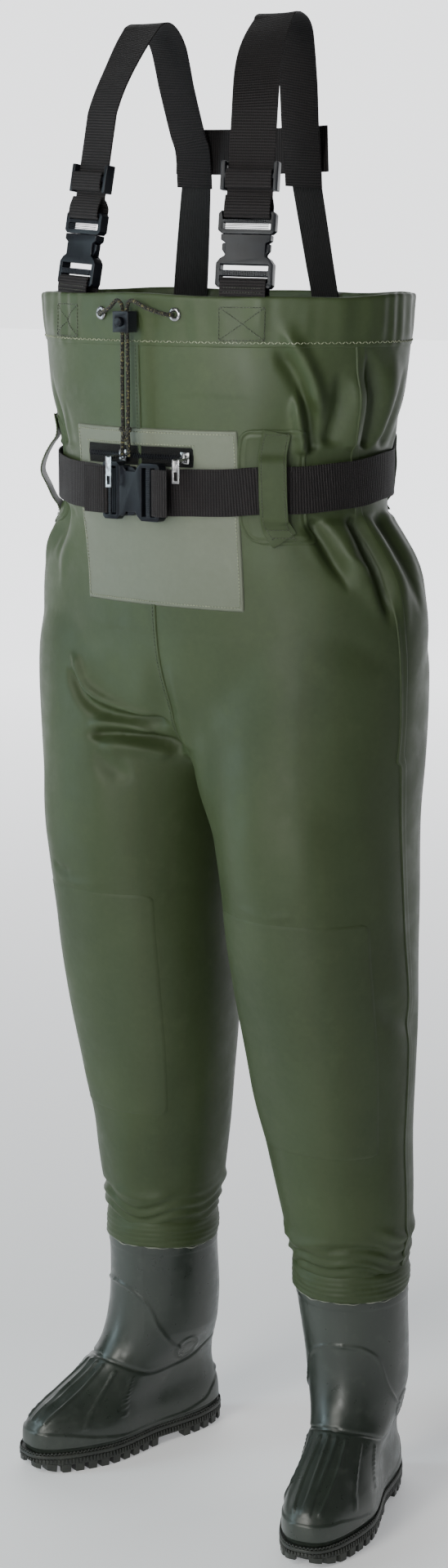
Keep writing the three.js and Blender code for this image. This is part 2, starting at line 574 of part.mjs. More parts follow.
for (const [side, strap] of Object.entries(STRAPS)) {
  const along = strap.lean.clone().normalize();
  const flat = V(Math.cos(strap.face), Math.sin(strap.face), 0);
  const across = flat.clone().addScaledVector(along, -flat.dot(along)).normalize();
  const inner = new THREE.Vector3().crossVectors(along, across);
  const frame = new THREE.Matrix4().makeBasis(across, inner, along).setPosition(strap.foot);
  addBuckle('shoulder_buckle_' + side, frame);

  // anchor tab: sewn inside the hem, folded round the lower bar of the buckle
  const inPanel = (z) => {
    const local = strap.foot.clone().addScaledVector(along, (z - strap.foot.z) / along.z);
    const a = Math.atan2(local.y / rowAt(TORSO, z)[1], local.x / rowAt(TORSO, z)[0]);
    const w = torsoPoint(a + 0.1, z, 0).sub(torsoPoint(a - 0.1, z, 0)).normalize();
    return { p: torsoPoint(a, z, -FABRIC - INSIDE), w };
  };
  add('anchor_tab_' + side, ribbon([inPanel(RIM_Z - HEM_TALL), inPanel(RIM_Z - 16),
    ...wrapStations([...femaleTurn.toReversed(), [-6.6, -50]], frame, across)],
  WEB_WIDE, WEB), webbing);

  // front strap: sewn end, round the male half, up over the shoulder to the yoke
  const local = (y, z) => V(0, y, z).applyMatrix4(frame);
  const lower = wrapStations([[-3.9, 54], ...maleTurn.toReversed(), [2.4, 51], [0, 56], [0, 146]],
    frame, across);
  const X = V(1, 0, 0);
  const over = smoothStations([local(0, 158), ...strap.top, strap.yoke, strap.end],
    [across, across, X, X, X, X, X, X, X], 20);
  add('front_strap_' + side, ribbon([...lower, ...over], WEB_WIDE, WEB), webbing);

  // tri-glide: side rails, two bars behind the webbing and one in front
  const tri = boxSolid(-HALF, -OPEN, -7, 4.4, -TRI_TALL / 2, TRI_TALL / 2)
    .add(boxSolid(OPEN, HALF, -7, 4.4, -TRI_TALL / 2, TRI_TALL / 2))
    .add(boxSolid(-HALF, HALF, 1.9, 4.4, TRI_TALL / 2 - 4, TRI_TALL / 2))
    .add(boxSolid(-HALF, HALF, 1.9, 4.4, -TRI_TALL / 2, 4 - TRI_TALL / 2))
    .add(boxSolid(-HALF, HALF, -7, -4.6, -3, 3));
  const triFrame = frame.clone().setPosition(local(0, TRIGLIDE_Z));
  add('triglide_' + side, toGeometry(tri).applyMatrix4(triFrame), acetal);
  const fold = [[-2.8, -13], [-2.8, 3.2], [-3.6, 5.2], [-5.8, 6.2], [-8, 5.2], [-8.8, 3.2],
    [-8.8, -8], [-7, -13]];
  add('strap_fold_' + side, ribbon(wrapStations(fold, triFrame, across),
    WEB_WIDE, 1.6), webbing);

  // elastic strap from below the yoke down to the inside of the back hem
  const hemAngle = Math.atan2(strap.hem.y / 150, strap.hem.x / 228);
  const hemAt = (z) => torsoPoint(hemAngle, z, -FABRIC - INSIDE);
  const hemWay = torsoPoint(hemAngle - 0.1, RIM_Z, 0).sub(torsoPoint(hemAngle + 0.1, RIM_Z, 0));
  hemWay.normalize();
  const [start, stop] = [strap.end.clone().add(V(0, 3.6, 10)), hemAt(RIM_Z - 4)];
  const down = [0, 0.25, 0.5, 0.75, 1].map((k) => ({
    p: start.clone().lerp(stop, k), w: X.clone().lerp(hemWay, k).normalize(),
  }));
  const sewn = [RIM_Z - 18, RIM_Z - 38].map((z) => ({ p: hemAt(z), w: hemWay }));
  add('elastic_strap_' + side, ribbon([...down, ...sewn], ELASTIC_WIDE, WEB), webbing);
}
// yoke: the cross piece of the H, sewn behind both straps
const yokePath = [overRim(-139, 92, YOKE_UP + 2), overRim(-110, 91.4, YOKE_UP + 1),
  overRim(-33, 93, YOKE_UP), overRim(44, 91.4, YOKE_UP + 1), overRim(73, 92, YOKE_UP + 2)];
add('back_yoke', ribbon(yokePath.map((p) => ({ p, w: V(0, 0, 1) })), WEB_WIDE, WEB), webbing);

// ---------- drawcord ----------
const eyeletProfile = [[2.9, 0.2], [7.4, 0.2], [7.4, 0.8], [6.2, 1.7], [4.2, 1.7], [2.9, 0.8],
  [2.9, 0.2]].map(([r, h]) => new THREE.Vector2(r, h));
for (const [word, side] of [['left', 1], ['right', -1]]) {
  const angle = angleAtX(side * EYELET_X, EYELET_Z);
  const seat = torsoPoint(angle, EYELET_Z, SEAT + PATCH + 0.6);
  const ring = new THREE.LatheGeometry(eyeletProfile, 14);
  const normal = V(Math.cos(angle) / 228, Math.sin(angle) / 150, 0).normalize();
  ring.applyQuaternion(new THREE.Quaternion().setFromUnitVectors(V(0, 1, 0), normal));
  ring.translate(seat.x, seat.y, seat.z);
  add('eyelet_' + word, ring, nickel);
}

const LOCK_X = -4;
const LOCK_Y = -166;
const LOCK_Z = EYELET_Z - 8;
const CORD_X = CORD_R + 1.1;
const KNOT_Z = LOCK_Z - 118;
for (const [word, side] of [['left', 1], ['right', -1]]) {
  const angle = angleAtX(side * EYELET_X, EYELET_Z);
  const x = LOCK_X + side * CORD_X;
  const start = torsoPoint(angle, EYELET_Z, SEAT + PATCH + CORD_R + 1.2);
  const path = [start, torsoPoint(angle, EYELET_Z, 11).setX(side * (EYELET_X - 5)),
    V(side * 26, -165, EYELET_Z + 6), V(x + side * 7, LOCK_Y - 0.5, LOCK_Z + 22),
    V(x, LOCK_Y, LOCK_Z + 14), V(x, LOCK_Y, LOCK_Z - 16), V(x, LOCK_Y, LOCK_Z - 66),
    V(x, LOCK_Y, KNOT_Z + 10), V(x, LOCK_Y, KNOT_Z), V(x + side * 0.8, LOCK_Y, KNOT_Z - 10),
    V(x + side * 1.6, LOCK_Y, KNOT_Z - 24)];
  const cordLine = new THREE.CatmullRomCurve3(path, false, 'centripetal');
  const section = new THREE.Shape(
    [...Array(8).keys()].map((i) => new THREE.Vector2(CORD_R * Math.cos(i * Math.PI / 4),
      CORD_R * Math.sin(i * Math.PI / 4))));
  add('drawcord_' + word, new THREE.ExtrudeGeometry(section,
    { steps: 24, extrudePath: cordLine, bevelEnabled: false }), cordBlack);
}
const lockBody = boxSolid(-10.5, 10.5, -7.5, 7.5, -11, 11)
  .subtract(boxSolid(-CORD_X - 3, CORD_X + 3, -3.1, 3.1, -12, 12))
  .subtract(toSolid(new THREE.CylinderGeometry(4.9, 4.9, 4, 16).translate(0, -6.2, 0)));
add('cord_lock', toGeometry(lockBody.translate([LOCK_X, LOCK_Y, LOCK_Z])), acetal);
const BUTTON_BACK = 6;           // back of the button, clear of the recess floor when pressed
const BUTTON_LONG = 5.7;
add('cord_lock_button', new THREE.CylinderGeometry(4.3, 4.3, BUTTON_LONG, 16)
  .translate(LOCK_X, LOCK_Y - BUTTON_BACK - BUTTON_LONG / 2, LOCK_Z), acetal);
const knotProfile = [[0, -8], [5.5, -7], [8, -3], [8, 3], [5.5, 7], [0, 8]];
const knotSolid = toSolid(new THREE.LatheGeometry(knotProfile.map(([r, h]) => new THREE.Vector2(r, h)), 14)
  .rotateX(Math.PI / 2).translate(LOCK_X, LOCK_Y, KNOT_Z))
  .subtract(boxSolid(LOCK_X - CORD_X - 3, LOCK_X + CORD_X + 3, LOCK_Y - 3.1, LOCK_Y + 3.1,
    KNOT_Z - 12, KNOT_Z + 12));
add('drawcord_knot', toGeometry(knotSolid), cordBlack);

// ---------- origin: centre of the footprint on the floor ----------
group.updateMatrixWorld(true);
const extent = new THREE.Box3().setFromObject(group);
const middle = extent.getCenter(new THREE.Vector3());
for (const mesh of group.children) {
  mesh.geometry.translate(-middle.x, -middle.y, -extent.min.z);
}
export default group;
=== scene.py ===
"""Chest waders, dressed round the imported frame.

Shapes are worked out in millimetres in the garment's own frame (+X the wearer's left, -Y the
front, soles on Z = 0) and moved into the row frame by one shift, read from the belt buckle.
"""

import json
import math
import random

import bmesh
import bpy
import numpy as np
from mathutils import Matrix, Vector, noise
from mathutils.bvhtree import BVHTree

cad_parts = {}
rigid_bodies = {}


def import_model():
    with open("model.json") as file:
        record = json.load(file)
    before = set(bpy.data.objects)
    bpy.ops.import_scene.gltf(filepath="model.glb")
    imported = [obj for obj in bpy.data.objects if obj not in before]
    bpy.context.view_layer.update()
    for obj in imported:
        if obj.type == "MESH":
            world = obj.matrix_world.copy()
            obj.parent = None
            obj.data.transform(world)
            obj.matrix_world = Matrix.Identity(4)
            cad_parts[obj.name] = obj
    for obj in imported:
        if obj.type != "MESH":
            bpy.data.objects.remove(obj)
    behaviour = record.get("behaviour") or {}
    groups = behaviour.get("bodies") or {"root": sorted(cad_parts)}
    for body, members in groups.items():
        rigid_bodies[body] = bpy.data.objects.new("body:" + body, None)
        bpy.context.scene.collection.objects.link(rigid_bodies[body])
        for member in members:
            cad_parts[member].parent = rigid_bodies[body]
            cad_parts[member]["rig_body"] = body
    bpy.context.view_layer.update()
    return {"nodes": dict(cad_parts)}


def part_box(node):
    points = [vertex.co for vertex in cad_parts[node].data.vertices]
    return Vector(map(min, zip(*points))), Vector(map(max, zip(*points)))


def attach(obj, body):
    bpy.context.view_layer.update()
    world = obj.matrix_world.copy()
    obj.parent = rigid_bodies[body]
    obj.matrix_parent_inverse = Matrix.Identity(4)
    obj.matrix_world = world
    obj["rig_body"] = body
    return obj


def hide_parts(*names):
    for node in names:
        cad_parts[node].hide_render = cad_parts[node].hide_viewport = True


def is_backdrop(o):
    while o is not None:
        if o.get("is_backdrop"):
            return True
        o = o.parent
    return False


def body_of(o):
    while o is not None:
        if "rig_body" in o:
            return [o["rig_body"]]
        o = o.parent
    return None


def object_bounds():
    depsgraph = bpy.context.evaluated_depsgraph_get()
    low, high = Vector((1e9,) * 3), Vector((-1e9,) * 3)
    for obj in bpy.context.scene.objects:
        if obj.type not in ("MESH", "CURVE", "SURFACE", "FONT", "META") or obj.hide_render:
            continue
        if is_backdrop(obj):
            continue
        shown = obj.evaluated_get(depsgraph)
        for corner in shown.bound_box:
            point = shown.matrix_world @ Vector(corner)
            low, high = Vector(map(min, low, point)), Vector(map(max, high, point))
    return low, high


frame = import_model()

random.seed(12)
MM = 0.001
low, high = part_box("belt_buckle_female")
BUCKLE_Y = -159.5
SHIFT = np.array([0.0, (low.y + high.y) / 2 / MM - BUCKLE_Y, 0.0])

# ---------------------------------------------------------------- driving sizes
RIM_Z = 1400
HEM_TALL = 48
BOOT_TOP = 280
SHAFT_R = 66
TOE_OUT = math.radians(15.5)
HEEL_X, HEEL_Y = 130, 150
FOOT_LENGTH = 286
SOLE_TOP = 23.6
TREAD = 9.5
WEB_WIDE = 50
WEB = 2.0
ELASTIC_WIDE = 40
BELT_Z = 1197
BELT_MIDDLE = 1200
# half width and half depth of the body at the belt and at the rim
WAIST_X, WAIST_Y = 197, 147
RIM_X, RIM_Y = 228, 150
BELT_OFF = 5
CORD_R = 2.25
FRONT = -math.pi / 2
SIDES = (("left", 1), ("right", -1))

# height, half width, half depth, centre y of the body
TORSO = [
    (884, 150, 40, 12), (910, 200, 82, 12), (950, 238, 116, 12), (1030, 252, 134, 12),
    (1100, 243, 137, 9), (1145, 216, 141, 4), (1168, 199, 145, 1), (1235, WAIST_X, WAIST_Y, 0),
    (1262, 206, 148, 0), (1300, 219, 149, 0), (RIM_Z, RIM_X, RIM_Y, 0),
]
# height, centre x, centre y, half width, half depth of the left leg
LEG = [
    (284, 141, 59.5, 66, 66), (297, 141, 59.5, 66, 66), (314, 140, 58, 71, 71),
    (385, 136, 52, 79, 79), (450, 131, 46.5, 85.5, 85.5), (530, 129, 39, 94.5, 95),
    (610, 127, 30, 101, 106), (705, 123.5, 20, 106, 118), (830, 120, 12, 114, 127),
    (900, 119, 12, 121, 125), (1000, 120, 12, 128, 119), (1040, 118, 12, 124, 113),
]
# side seam: height and y
SEAM_LINE = [
    (270, 73), (340, 69), (450, 62), (600, 50), (750, 28), (900, 10), (1080, -12),
    (1225, -24), (1300, -38), (1410, -49),
]
# height, back of heel, toe, share of round shaft, foot scale, shaft half width, lean
BOOT = [
    (24, 6, 277, 0, 0.97, 50, 0), (34, 4, 281, 0, 1.0, 50, 0), (48, 5, 280, 0, 0.99, 50, 0),
    (60, 7, 272, 0, 0.94, 50, 0), (70, 9, 258, 0.08, 0.88, 50, 0), (80, 11, 240, 0.2, 0.84, 50, 0),
    (93, 12, 217, 0.4, 0.8, 50, 0), (108, 12, 193, 0.62, 0.8, 51, 0),
    (125, 11, 174, 0.82, 0.8, 53, 2), (148, 10, 162, 1, 0.8, 56, 4), (185, 11, 155, 1, 0.8, 59, 7),
    (230, 18, 154, 1, 0.8, 62.5, 10.5), (BOOT_TOP, 24.5, 156.5, 1, 0.8, SHAFT_R, 13.6),
]
FOOT_WIDTH = [(0, 42), (0.15, 44), (0.4, 40), (0.68, 53), (0.9, 50), (1, 48)]


# ---------------------------------------------------------------- curves and tables
def slopes_of(table):
    """Smooth slopes through a table's rows, flat where a column turns back."""
    rows = np.array(table, float)
    x, y = rows[:, 0], rows[:, 1:]
    step = np.diff(x)[:, None]
    chord = np.diff(y, axis=0)
    tilt = np.zeros((len(x), 2, y.shape[1]))
    for i in range(len(x) - 1):
        before = (y[i + 1] - y[i - 1]) / (x[i + 1] - x[i - 1]) * step[i] if i else chord[i]
        last = i + 2 >= len(x)
        after = chord[i] if last else (y[i + 2] - y[i]) / (x[i + 2] - x[i]) * step[i]
        for side, m in enumerate((before, after)):
            limit = np.sign(chord[i]) * np.minimum(np.abs(m), 3 * np.abs(chord[i]))
            tilt[i, side] = np.where(m * chord[i] <= 0, 0, limit)
    return x, y, tilt


def row_at(table, z):
    """Every column of a table at heights z, an array of any shape; columns come first."""
    x, y, tilt = slopes_of(table)
    z = np.asarray(z, float)
    i = np.clip(np.searchsorted(x, z, side="right") - 1, 0, len(x) - 2)
    s = np.clip((z - x[i]) / (x[i + 1] - x[i]), 0, 1)[..., None]
    gain = y[i + 1] - y[i]
    first, last = tilt[i, 0], tilt[i, 1]
    out = y[i] + s * (first + s * ((3 * gain - 2 * first - last) + s * (first + last - 2 * gain)))
    return np.moveaxis(out, -1, 0)


def smooth_line(points, step):
    """Catmull-Rom line through points, evenly spaced about step apart."""
    p = np.array(points, float)
    ends = np.vstack([2 * p[0] - p[1], p, 2 * p[-1] - p[-2]])
    t = np.linspace(0, 1, 24, endpoint=False)[:, None]
    run = []
    for a, b, c, d in zip(ends, ends[1:], ends[2:], ends[3:]):
        run.append(0.5 * (2 * b + (c - a) * t + (2 * a - 5 * b + 4 * c - d) * t**2
                          + (3 * b - a - 3 * c + d) * t**3))
    run = np.vstack([*run, p[-1:]])
    return even(run, step)


def distance_along(line):
    """How far along a line each of its points lies."""
    steps = np.linalg.norm(np.diff(line[:, :3], axis=0), axis=1)
    return np.concatenate([[0], np.cumsum(steps)])


def even(run, step):
    """A polyline resampled at even steps along its length."""
    length = distance_along(run)
    count = max(2, int(round(length[-1] / step)) + 1)
    at = np.linspace(0, length[-1], count)
    return np.column_stack([np.interp(at, length, run[:, k]) for k in range(run.shape[1])])


def relaxed(line, times, share=1.0):
    """A run of points with its bends eased, by a share of the full amount at each point."""
    line = line.copy()
    pull = 0.25 * np.broadcast_to(share, len(line))[1:-1, None]
    for _ in range(times):
        line[1:-1] += pull * (line[:-2] + line[2:] - 2 * line[1:-1])
    return line


def circle(count):
    """Angles spaced evenly once round, from 0."""
    return np.linspace(0, 2 * math.pi, count + 1)[:-1]


def smooth_step(x):
    """0 up to 0 and 1 from 1 on, with a smooth rise between."""
    x = np.clip(x, 0, 1)
    return x * x * (3 - 2 * x)


def bell(x, middle, width):
    """1 at the middle, falling to almost nothing at twice the width."""
    return np.exp(-np.minimum(((x - middle) / width) ** 2, 40))


def unit(v):
    """Vectors scaled to length 1, along the last axis."""
    v = np.asarray(v, float)
    return v / np.maximum(np.linalg.norm(v, axis=-1, keepdims=True), 1e-9)


# ---------------------------------------------------------------- body surface
def torso(angle, z, off=0.0):
    """Points on the body ellipse and the directions straight out of it."""
    angle, z = np.broadcast_arrays(np.asarray(angle, float), np.asarray(z, float))
    a, b, yc = row_at(TORSO, z)
    p = np.stack([a * np.cos(angle), yc + b * np.sin(angle), z], -1)
    n = unit(np.stack([np.cos(angle) / a, np.sin(angle) / b, 0 * z], -1))
    return p + n * np.asarray(off)[..., None], n


def leg(side, angle, z, off=0.0):
    """The same for a leg: side +1 is the wearer's left, and angles mirror with it."""
    angle, z = np.broadcast_arrays(np.asarray(angle, float), np.asarray(z, float))
    xc, yc, rx, ry = row_at(LEG, z)
    p = np.stack([side * (xc + rx * np.cos(angle)), yc + ry * np.sin(angle), z], -1)
    n = unit(np.stack([side * np.cos(angle) / rx, np.sin(angle) / ry, 0 * z], -1))
    return p + n * np.asarray(off)[..., None], n


def angle_at_x(x, z):
    """Body angle on the front at a given x."""
    return -np.arccos(np.clip(np.asarray(x, float) / row_at(TORSO, z)[0], -1, 1))


def seam_angle(z):
    """Body angle of the side seam on the wearer's left."""
    y = row_at(SEAM_LINE, z)[0]
    _, b, yc = row_at(TORSO, z)
    return np.arcsin(np.clip((y - yc) / b, -1, 1))


def leg_seam_angle(z):
    """The same seam's angle round the left leg."""
    y = row_at(SEAM_LINE, z)[0]
    _, yc, _, ry = row_at(LEG, z)
    return np.arcsin(np.clip((y - yc) / ry, -1, 1))


# ---------------------------------------------------------------- folds in the cloth
FOLDS = []


def fold(where, points, width, height, kind="ridge", ends=(0.3, 0.3)):
    """One fold along a line on the body. where is "body", or a side (+1, -1) for a leg; points are
    (angle, height) pairs. A ridge is even on both sides, a tuck has a raised and a sunken side."""
    line = smooth_line([(a * 150, z) for a, z in points], 12)
    angle, z = line[:, 0] / 150, line[:, 1]
    p, n = torso(angle, z) if where == "body" else leg(where, angle, z)
    FOLDS.append((p, n, width, height, kind, ends))


def fold_height(points):
    """How far all the folds together push the cloth out at each point."""
    out = np.zeros(len(points))
    for line, normals, width, height, kind, ends in FOLDS:
        reach = 3 * width
        box = ((points > line.min(0) - reach) & (points < line.max(0) + reach)).all(1)
        near = np.where(box)[0]
        if not len(near):
            continue
        p = points[near]
        best = np.full(len(p), 1e9)
        along = np.zeros(len(p))
        aside = np.zeros(len(p))
        count = len(line) - 1
        for k in range(count):
            a, b = line[k], line[k + 1]
            way = b - a
            t = np.clip((p - a) @ way / (way @ way), 0, 1)
            gap = p - (a + t[:, None] * way)
            far = np.linalg.norm(gap, axis=1)
            side = gap @ unit(np.cross(way, normals[k]))
            closer = far < best
            best = np.where(closer, far, best)
            along = np.where(closer, (k + t) / count, along)
            aside = np.where(closer, side, aside)
        fade = smooth_step(along / max(ends[0], 1e-3)) * smooth_step((1 - along) / max(ends[1], 1e-3))
        w = width * (0.45 + 0.55 * fade)
        if kind == "tuck":
            # 2.3 brings the crest beside the line up to the full height
            past_end = np.exp(-np.minimum((best**2 - aside**2) / w**2, 40))
            shape = 2.3 * (aside / w) * bell(aside, 0, w) * past_end
        else:
            shape = bell(best, 0, w)
        out[near] += height * fade * shape
    return out


def waves(points, size, stretch, seed):
    """Smooth noise, longer down the cloth than round it."""
    p = points / size
    p[:, 2] /= stretch
    p = p + seed * 7.3
    return np.array([noise.noise(Vector(v)) for v in p])


def cloth_offset(points):
    """Everything that moves the cloth off the plain body surface, in millimetres."""
    points = np.asarray(points, float).reshape(-1, 3)
    z = points[:, 2]
    out = fold_height(points)
    calm = smooth_step((RIM_Z - z) / 60) * smooth_step((z - 296) / 60)
    belt = 1 - 0.75 * bell(z, BELT_Z + 8, 34)
    front = bell(points[:, 0], 6, 120) * (points[:, 1] < -60) * (np.abs(z - 1170) < 130)
    soft = 4.2 * waves(points, 105, 2.6, 1) + 1.5 * waves(points, 42, 2.4, 2)
    out += soft * calm * belt * (1 - 0.7 * front)
    # slack cloth gathers in rings just above each boot
    slack = bell(z, 312, 20) * (z > 285)
    turn = np.arctan2(points[:, 1] - 58, np.abs(points[:, 0]) - 140)
    side = np.sign(points[:, 0])
    out += slack * 1.8 * np.sin((z + 9 * np.sin(turn * 2 + side) + 4 * np.sin(turn * 5 + 2 * side)) / 2.3)
    # small puckers where the cord draws the hem
    pucker = smooth_step((z - 1340) / 30)
    theta = np.arctan2(points[:, 1] / RIM_Y, points[:, 0] / RIM_X)
    out += pucker * (2.6 * np.sin(theta * 41 + 2 * np.sin(theta * 9)) * waves(points, 60, 2, 3)
                     + 2.0 * waves(points, 34, 1.2, 4))
    return out


def on_cloth(base, normals, off=0.0):
    """Points laid on the folded cloth, off millimetres above it."""
    shape = base.shape
    lift = cloth_offset(base.reshape(-1, 3)).reshape(shape[:-1])
    return base + normals * (lift + off)[..., None]


# ---------------------------------------------------------------- materials
def new_look(name, rough, metal=0.0, coat=0.0, coat_rough=0.25, sheen=0.0, specular=0.5):
    """A Principled material with its constant settings on the shader's own sockets."""
    look = bpy.data.materials.new(name)
    look.use_nodes = True
    shader = look.node_tree.nodes["Principled BSDF"]
    shader.inputs["Roughness"].default_value = rough
    shader.inputs["Metallic"].default_value = metal
    shader.inputs["Coat Weight"].default_value = coat
    shader.inputs["Coat Roughness"].default_value = coat_rough
    shader.inputs["Sheen Weight"].default_value = sheen
    shader.inputs["Specular IOR Level"].default_value = specular
    return look, look.node_tree, shader


def node(tree, kind, inputs=None, **settings):
    """Adds a node. An input may be a value or another node's output socket."""
    made = tree.nodes.new("ShaderNode" + kind)
    for key, value in settings.items():
        setattr(made, key, value)
    for key, value in (inputs or {}).items():
        if isinstance(value, bpy.types.NodeSocket):
            tree.links.new(value, made.inputs[key])
        else:
            made.inputs[key].default_value = value
    return made


def noise_of(tree, where, scale, detail=3.0, rough=0.5):
    return node(tree, "TexNoise", {"Vector": where, "Scale": scale, "Detail": detail,
                                   "Roughness": rough}).outputs["Fac"]


def maths(tree, operation, a, b=0.0, c=0.0):
    made = node(tree, "Math", {0: a, 1: b}, operation=operation)
    if operation == "MULTIPLY_ADD":
        made.inputs[2].default_value = c
    return made.outputs[0]


def blend_of(tree, factor, first, second):
    """Mixes two colours, each an (r, g, b) or a socket."""
    made = node(tree, "Mix", data_type="RGBA")
    for key, value in ((0, factor), (6, first), (7, second)):
        if isinstance(value, bpy.types.NodeSocket):
            tree.links.new(value, made.inputs[key])
        elif key:
            made.inputs[key].default_value = (*value, 1)
        else:
            made.inputs[key].default_value = value
    return made.outputs[2]


def spread(tree, value, low_in, high_in, low_out, high_out):
    return node(tree, "MapRange", {"Value": value, "From Min": low_in, "From Max": high_in,
                                   "To Min": low_out, "To Max": high_out}).outputs["Result"]


def wave(tree, value, pitch):
    """A sine of the value that repeats every pitch."""
    return maths(tree, "SINE", maths(tree, "MULTIPLY", value, 2 * math.pi / pitch))


def bumps(tree, shader, *layers):
    """Stacks (height, strength, distance) layers into the shader's normal."""
    last = None
    for height, strength, distance in layers:
        made = node(tree, "Bump", {"Strength": strength, "Distance": distance, "Height": height})
        if last:
            tree.links.new(last, made.inputs["Normal"])
        last = made.outputs["Normal"]
    tree.links.new(last, shader.inputs["Normal"])


def place(tree, kind="Object"):
    return node(tree, "TexCoord").outputs[kind]


def drawn_out(tree, where, scale):
    """Coordinates scaled by a different amount along each axis, for marks that run one way."""
    return node(tree, "Mapping", {"Vector": where, "Scale": scale}).outputs[0]


def uv_parts(tree):
    parts = node(tree, "SeparateXYZ", {0: place(tree, "UV")})
    return parts.outputs["X"], parts.outputs["Y"]


def paint(tree, shader, colour, rough=None):
    tree.links.new(colour, shader.inputs["Base Color"])
    if rough is not None:
        tree.links.new(rough, shader.inputs["Roughness"])


def fabric_look(name, dark, mid, pale, rough):
    """Satin coating over a knitted backing: cloudy colour, scuffs and a fine leathery grain."""
    look, tree, shader = new_look(name, rough, specular=0.3)
    where = place(tree)
    cloud = noise_of(tree, where, 7, 4)
    fine = noise_of(tree, where, 160, 3)
    scuff = noise_of(tree, where, 34, 6, 0.65)
    grain = noise_of(tree, where, 1100, 2)
    knit = node(tree, "TexVoronoi", {"Vector": where, "Scale": 620}).outputs["Distance"]
    base = blend_of(tree, spread(tree, cloud, 0.35, 0.65, 0, 1), dark, mid)
    base = blend_of(tree, spread(tree, scuff, 0.55, 0.78, 0, 0.3), base, pale)
    base = blend_of(tree, spread(tree, fine, 0.3, 0.7, 0, 0.10), base, pale)
    paint(tree, shader, base, spread(tree, scuff, 0.3, 0.75, rough - 0.06, rough + 0.12))
    bumps(tree, shader, (cloud, 0.12, 0.004), (knit, 0.06, 0.0004), (grain, 0.07, 0.0003),
          (scuff, 0.08, 0.0012))
    return look


def webbing_look(name, dark, pale, pitch):
    """Woven strap: UV u runs across and v along, both in metres."""
    look, tree, shader = new_look(name, 0.72, sheen=0.03, specular=0.18)
    across, along = uv_parts(tree)
    rib = wave(tree, along, pitch)
    thread = wave(tree, across, 0.0016)
    twill = wave(tree, maths(tree, "ADD", across, along), 0.0032)
    where = place(tree)
    fuzz = noise_of(tree, where, 900, 3)
    cloud = noise_of(tree, where, 40, 3)
    high_part = spread(tree, rib, -0.6, 1, 0, 1)
    speck = maths(tree, "MULTIPLY", high_part, spread(tree, thread, -0.2, 1, 0.35, 1))
    base = blend_of(tree, maths(tree, "MULTIPLY", speck, 0.75), dark, pale)
    base = blend_of(tree, spread(tree, cloud, 0.35, 0.75, 0, 0.35), base, dark)
    paint(tree, shader, base, spread(tree, fuzz, 0.3, 0.7, 0.62, 0.86))
    bumps(tree, shader, (rib, 0.55, 0.0005), (thread, 0.3, 0.0003), (twill, 0.15, 0.0002),
          (fuzz, 0.2, 0.0002))
    return look


def elastic_look(name, dark, pale):
    """Knitted elastic: fine cords along it, crossed by weft lines."""
    look, tree, shader = new_look(name, 0.7, sheen=0.04, specular=0.25)
    across, along = uv_parts(tree)
    cords = wave(tree, across, 0.0022)
    weft = wave(tree, along, 0.0011)
    where = place(tree)
    fuzz = noise_of(tree, where, 700, 3)
    cloud = noise_of(tree, where, 25, 3)
    base = blend_of(tree, spread(tree, cords, -0.3, 1, 0, 0.8), dark, pale)
    base = blend_of(tree, spread(tree, cloud, 0.4, 0.75, 0, 0.4), base, dark)
    paint(tree, shader, base, spread(tree, fuzz, 0.3, 0.7, 0.6, 0.85))
    bumps(tree, shader, (cords, 0.6, 0.0006), (weft, 0.25, 0.0002), (fuzz, 0.15, 0.0002))
    return look


def plastic_look(name, dark, pale):
    """Moulded acetal: faint grain, flow marks, and a painted highlight that lightens its sharp edges."""
    look, tree, shader = new_look(name, 0.34, specular=0.17)
    where = place(tree)
    cloud = noise_of(tree, where, 60, 4)
    grain = noise_of(tree, where, 1500, 2)
    scratch = noise_of(tree, drawn_out(tree, where, (400, 400, 40)), 1.5, 4, 0.7)
    edge = node(tree, "NewGeometry").outputs["Pointiness"]
    base = blend_of(tree, spread(tree, cloud, 0.35, 0.7, 0, 0.8), dark, pale)
    # painted highlight: sharp convex edges (high pointiness) are mixed towards a pale bluish grey
    base = blend_of(tree, spread(tree, edge, 0.53, 0.68, 0, 0.3), base, (0.055, 0.059, 0.069))
    paint(tree, shader, base, spread(tree, scratch, 0.3, 0.75, 0.26, 0.38))
    bumps(tree, shader, (grain, 0.08, 0.0002), (scratch, 0.04, 0.0002))
    return look


def metal_look(name, dark, pale):
    """Plated metal, with fine drawn lines and painted shade that darkens its hollows."""
    look, tree, shader = new_look(name, 0.2, metal=1.0)
    where = place(tree)
    cloud = noise_of(tree, where, 260, 4)
    line = noise_of(tree, drawn_out(tree, where, (900, 900, 90)), 1.2, 3, 0.6)
    edge = node(tree, "NewGeometry").outputs["Pointiness"]
    base = blend_of(tree, spread(tree, cloud, 0.35, 0.7, 0, 1), dark, pale)
    # painted shade: hollows (low pointiness) are mixed towards a dark grey
    base = blend_of(tree, spread(tree, edge, 0.4, 0.5, 0.5, 0), base, (0.09, 0.085, 0.08))
    paint(tree, shader, base, spread(tree, line, 0.3, 0.7, 0.12, 0.34))
    bumps(tree, shader, (line, 0.05, 0.0002), (cloud, 0.04, 0.0002))
    return look


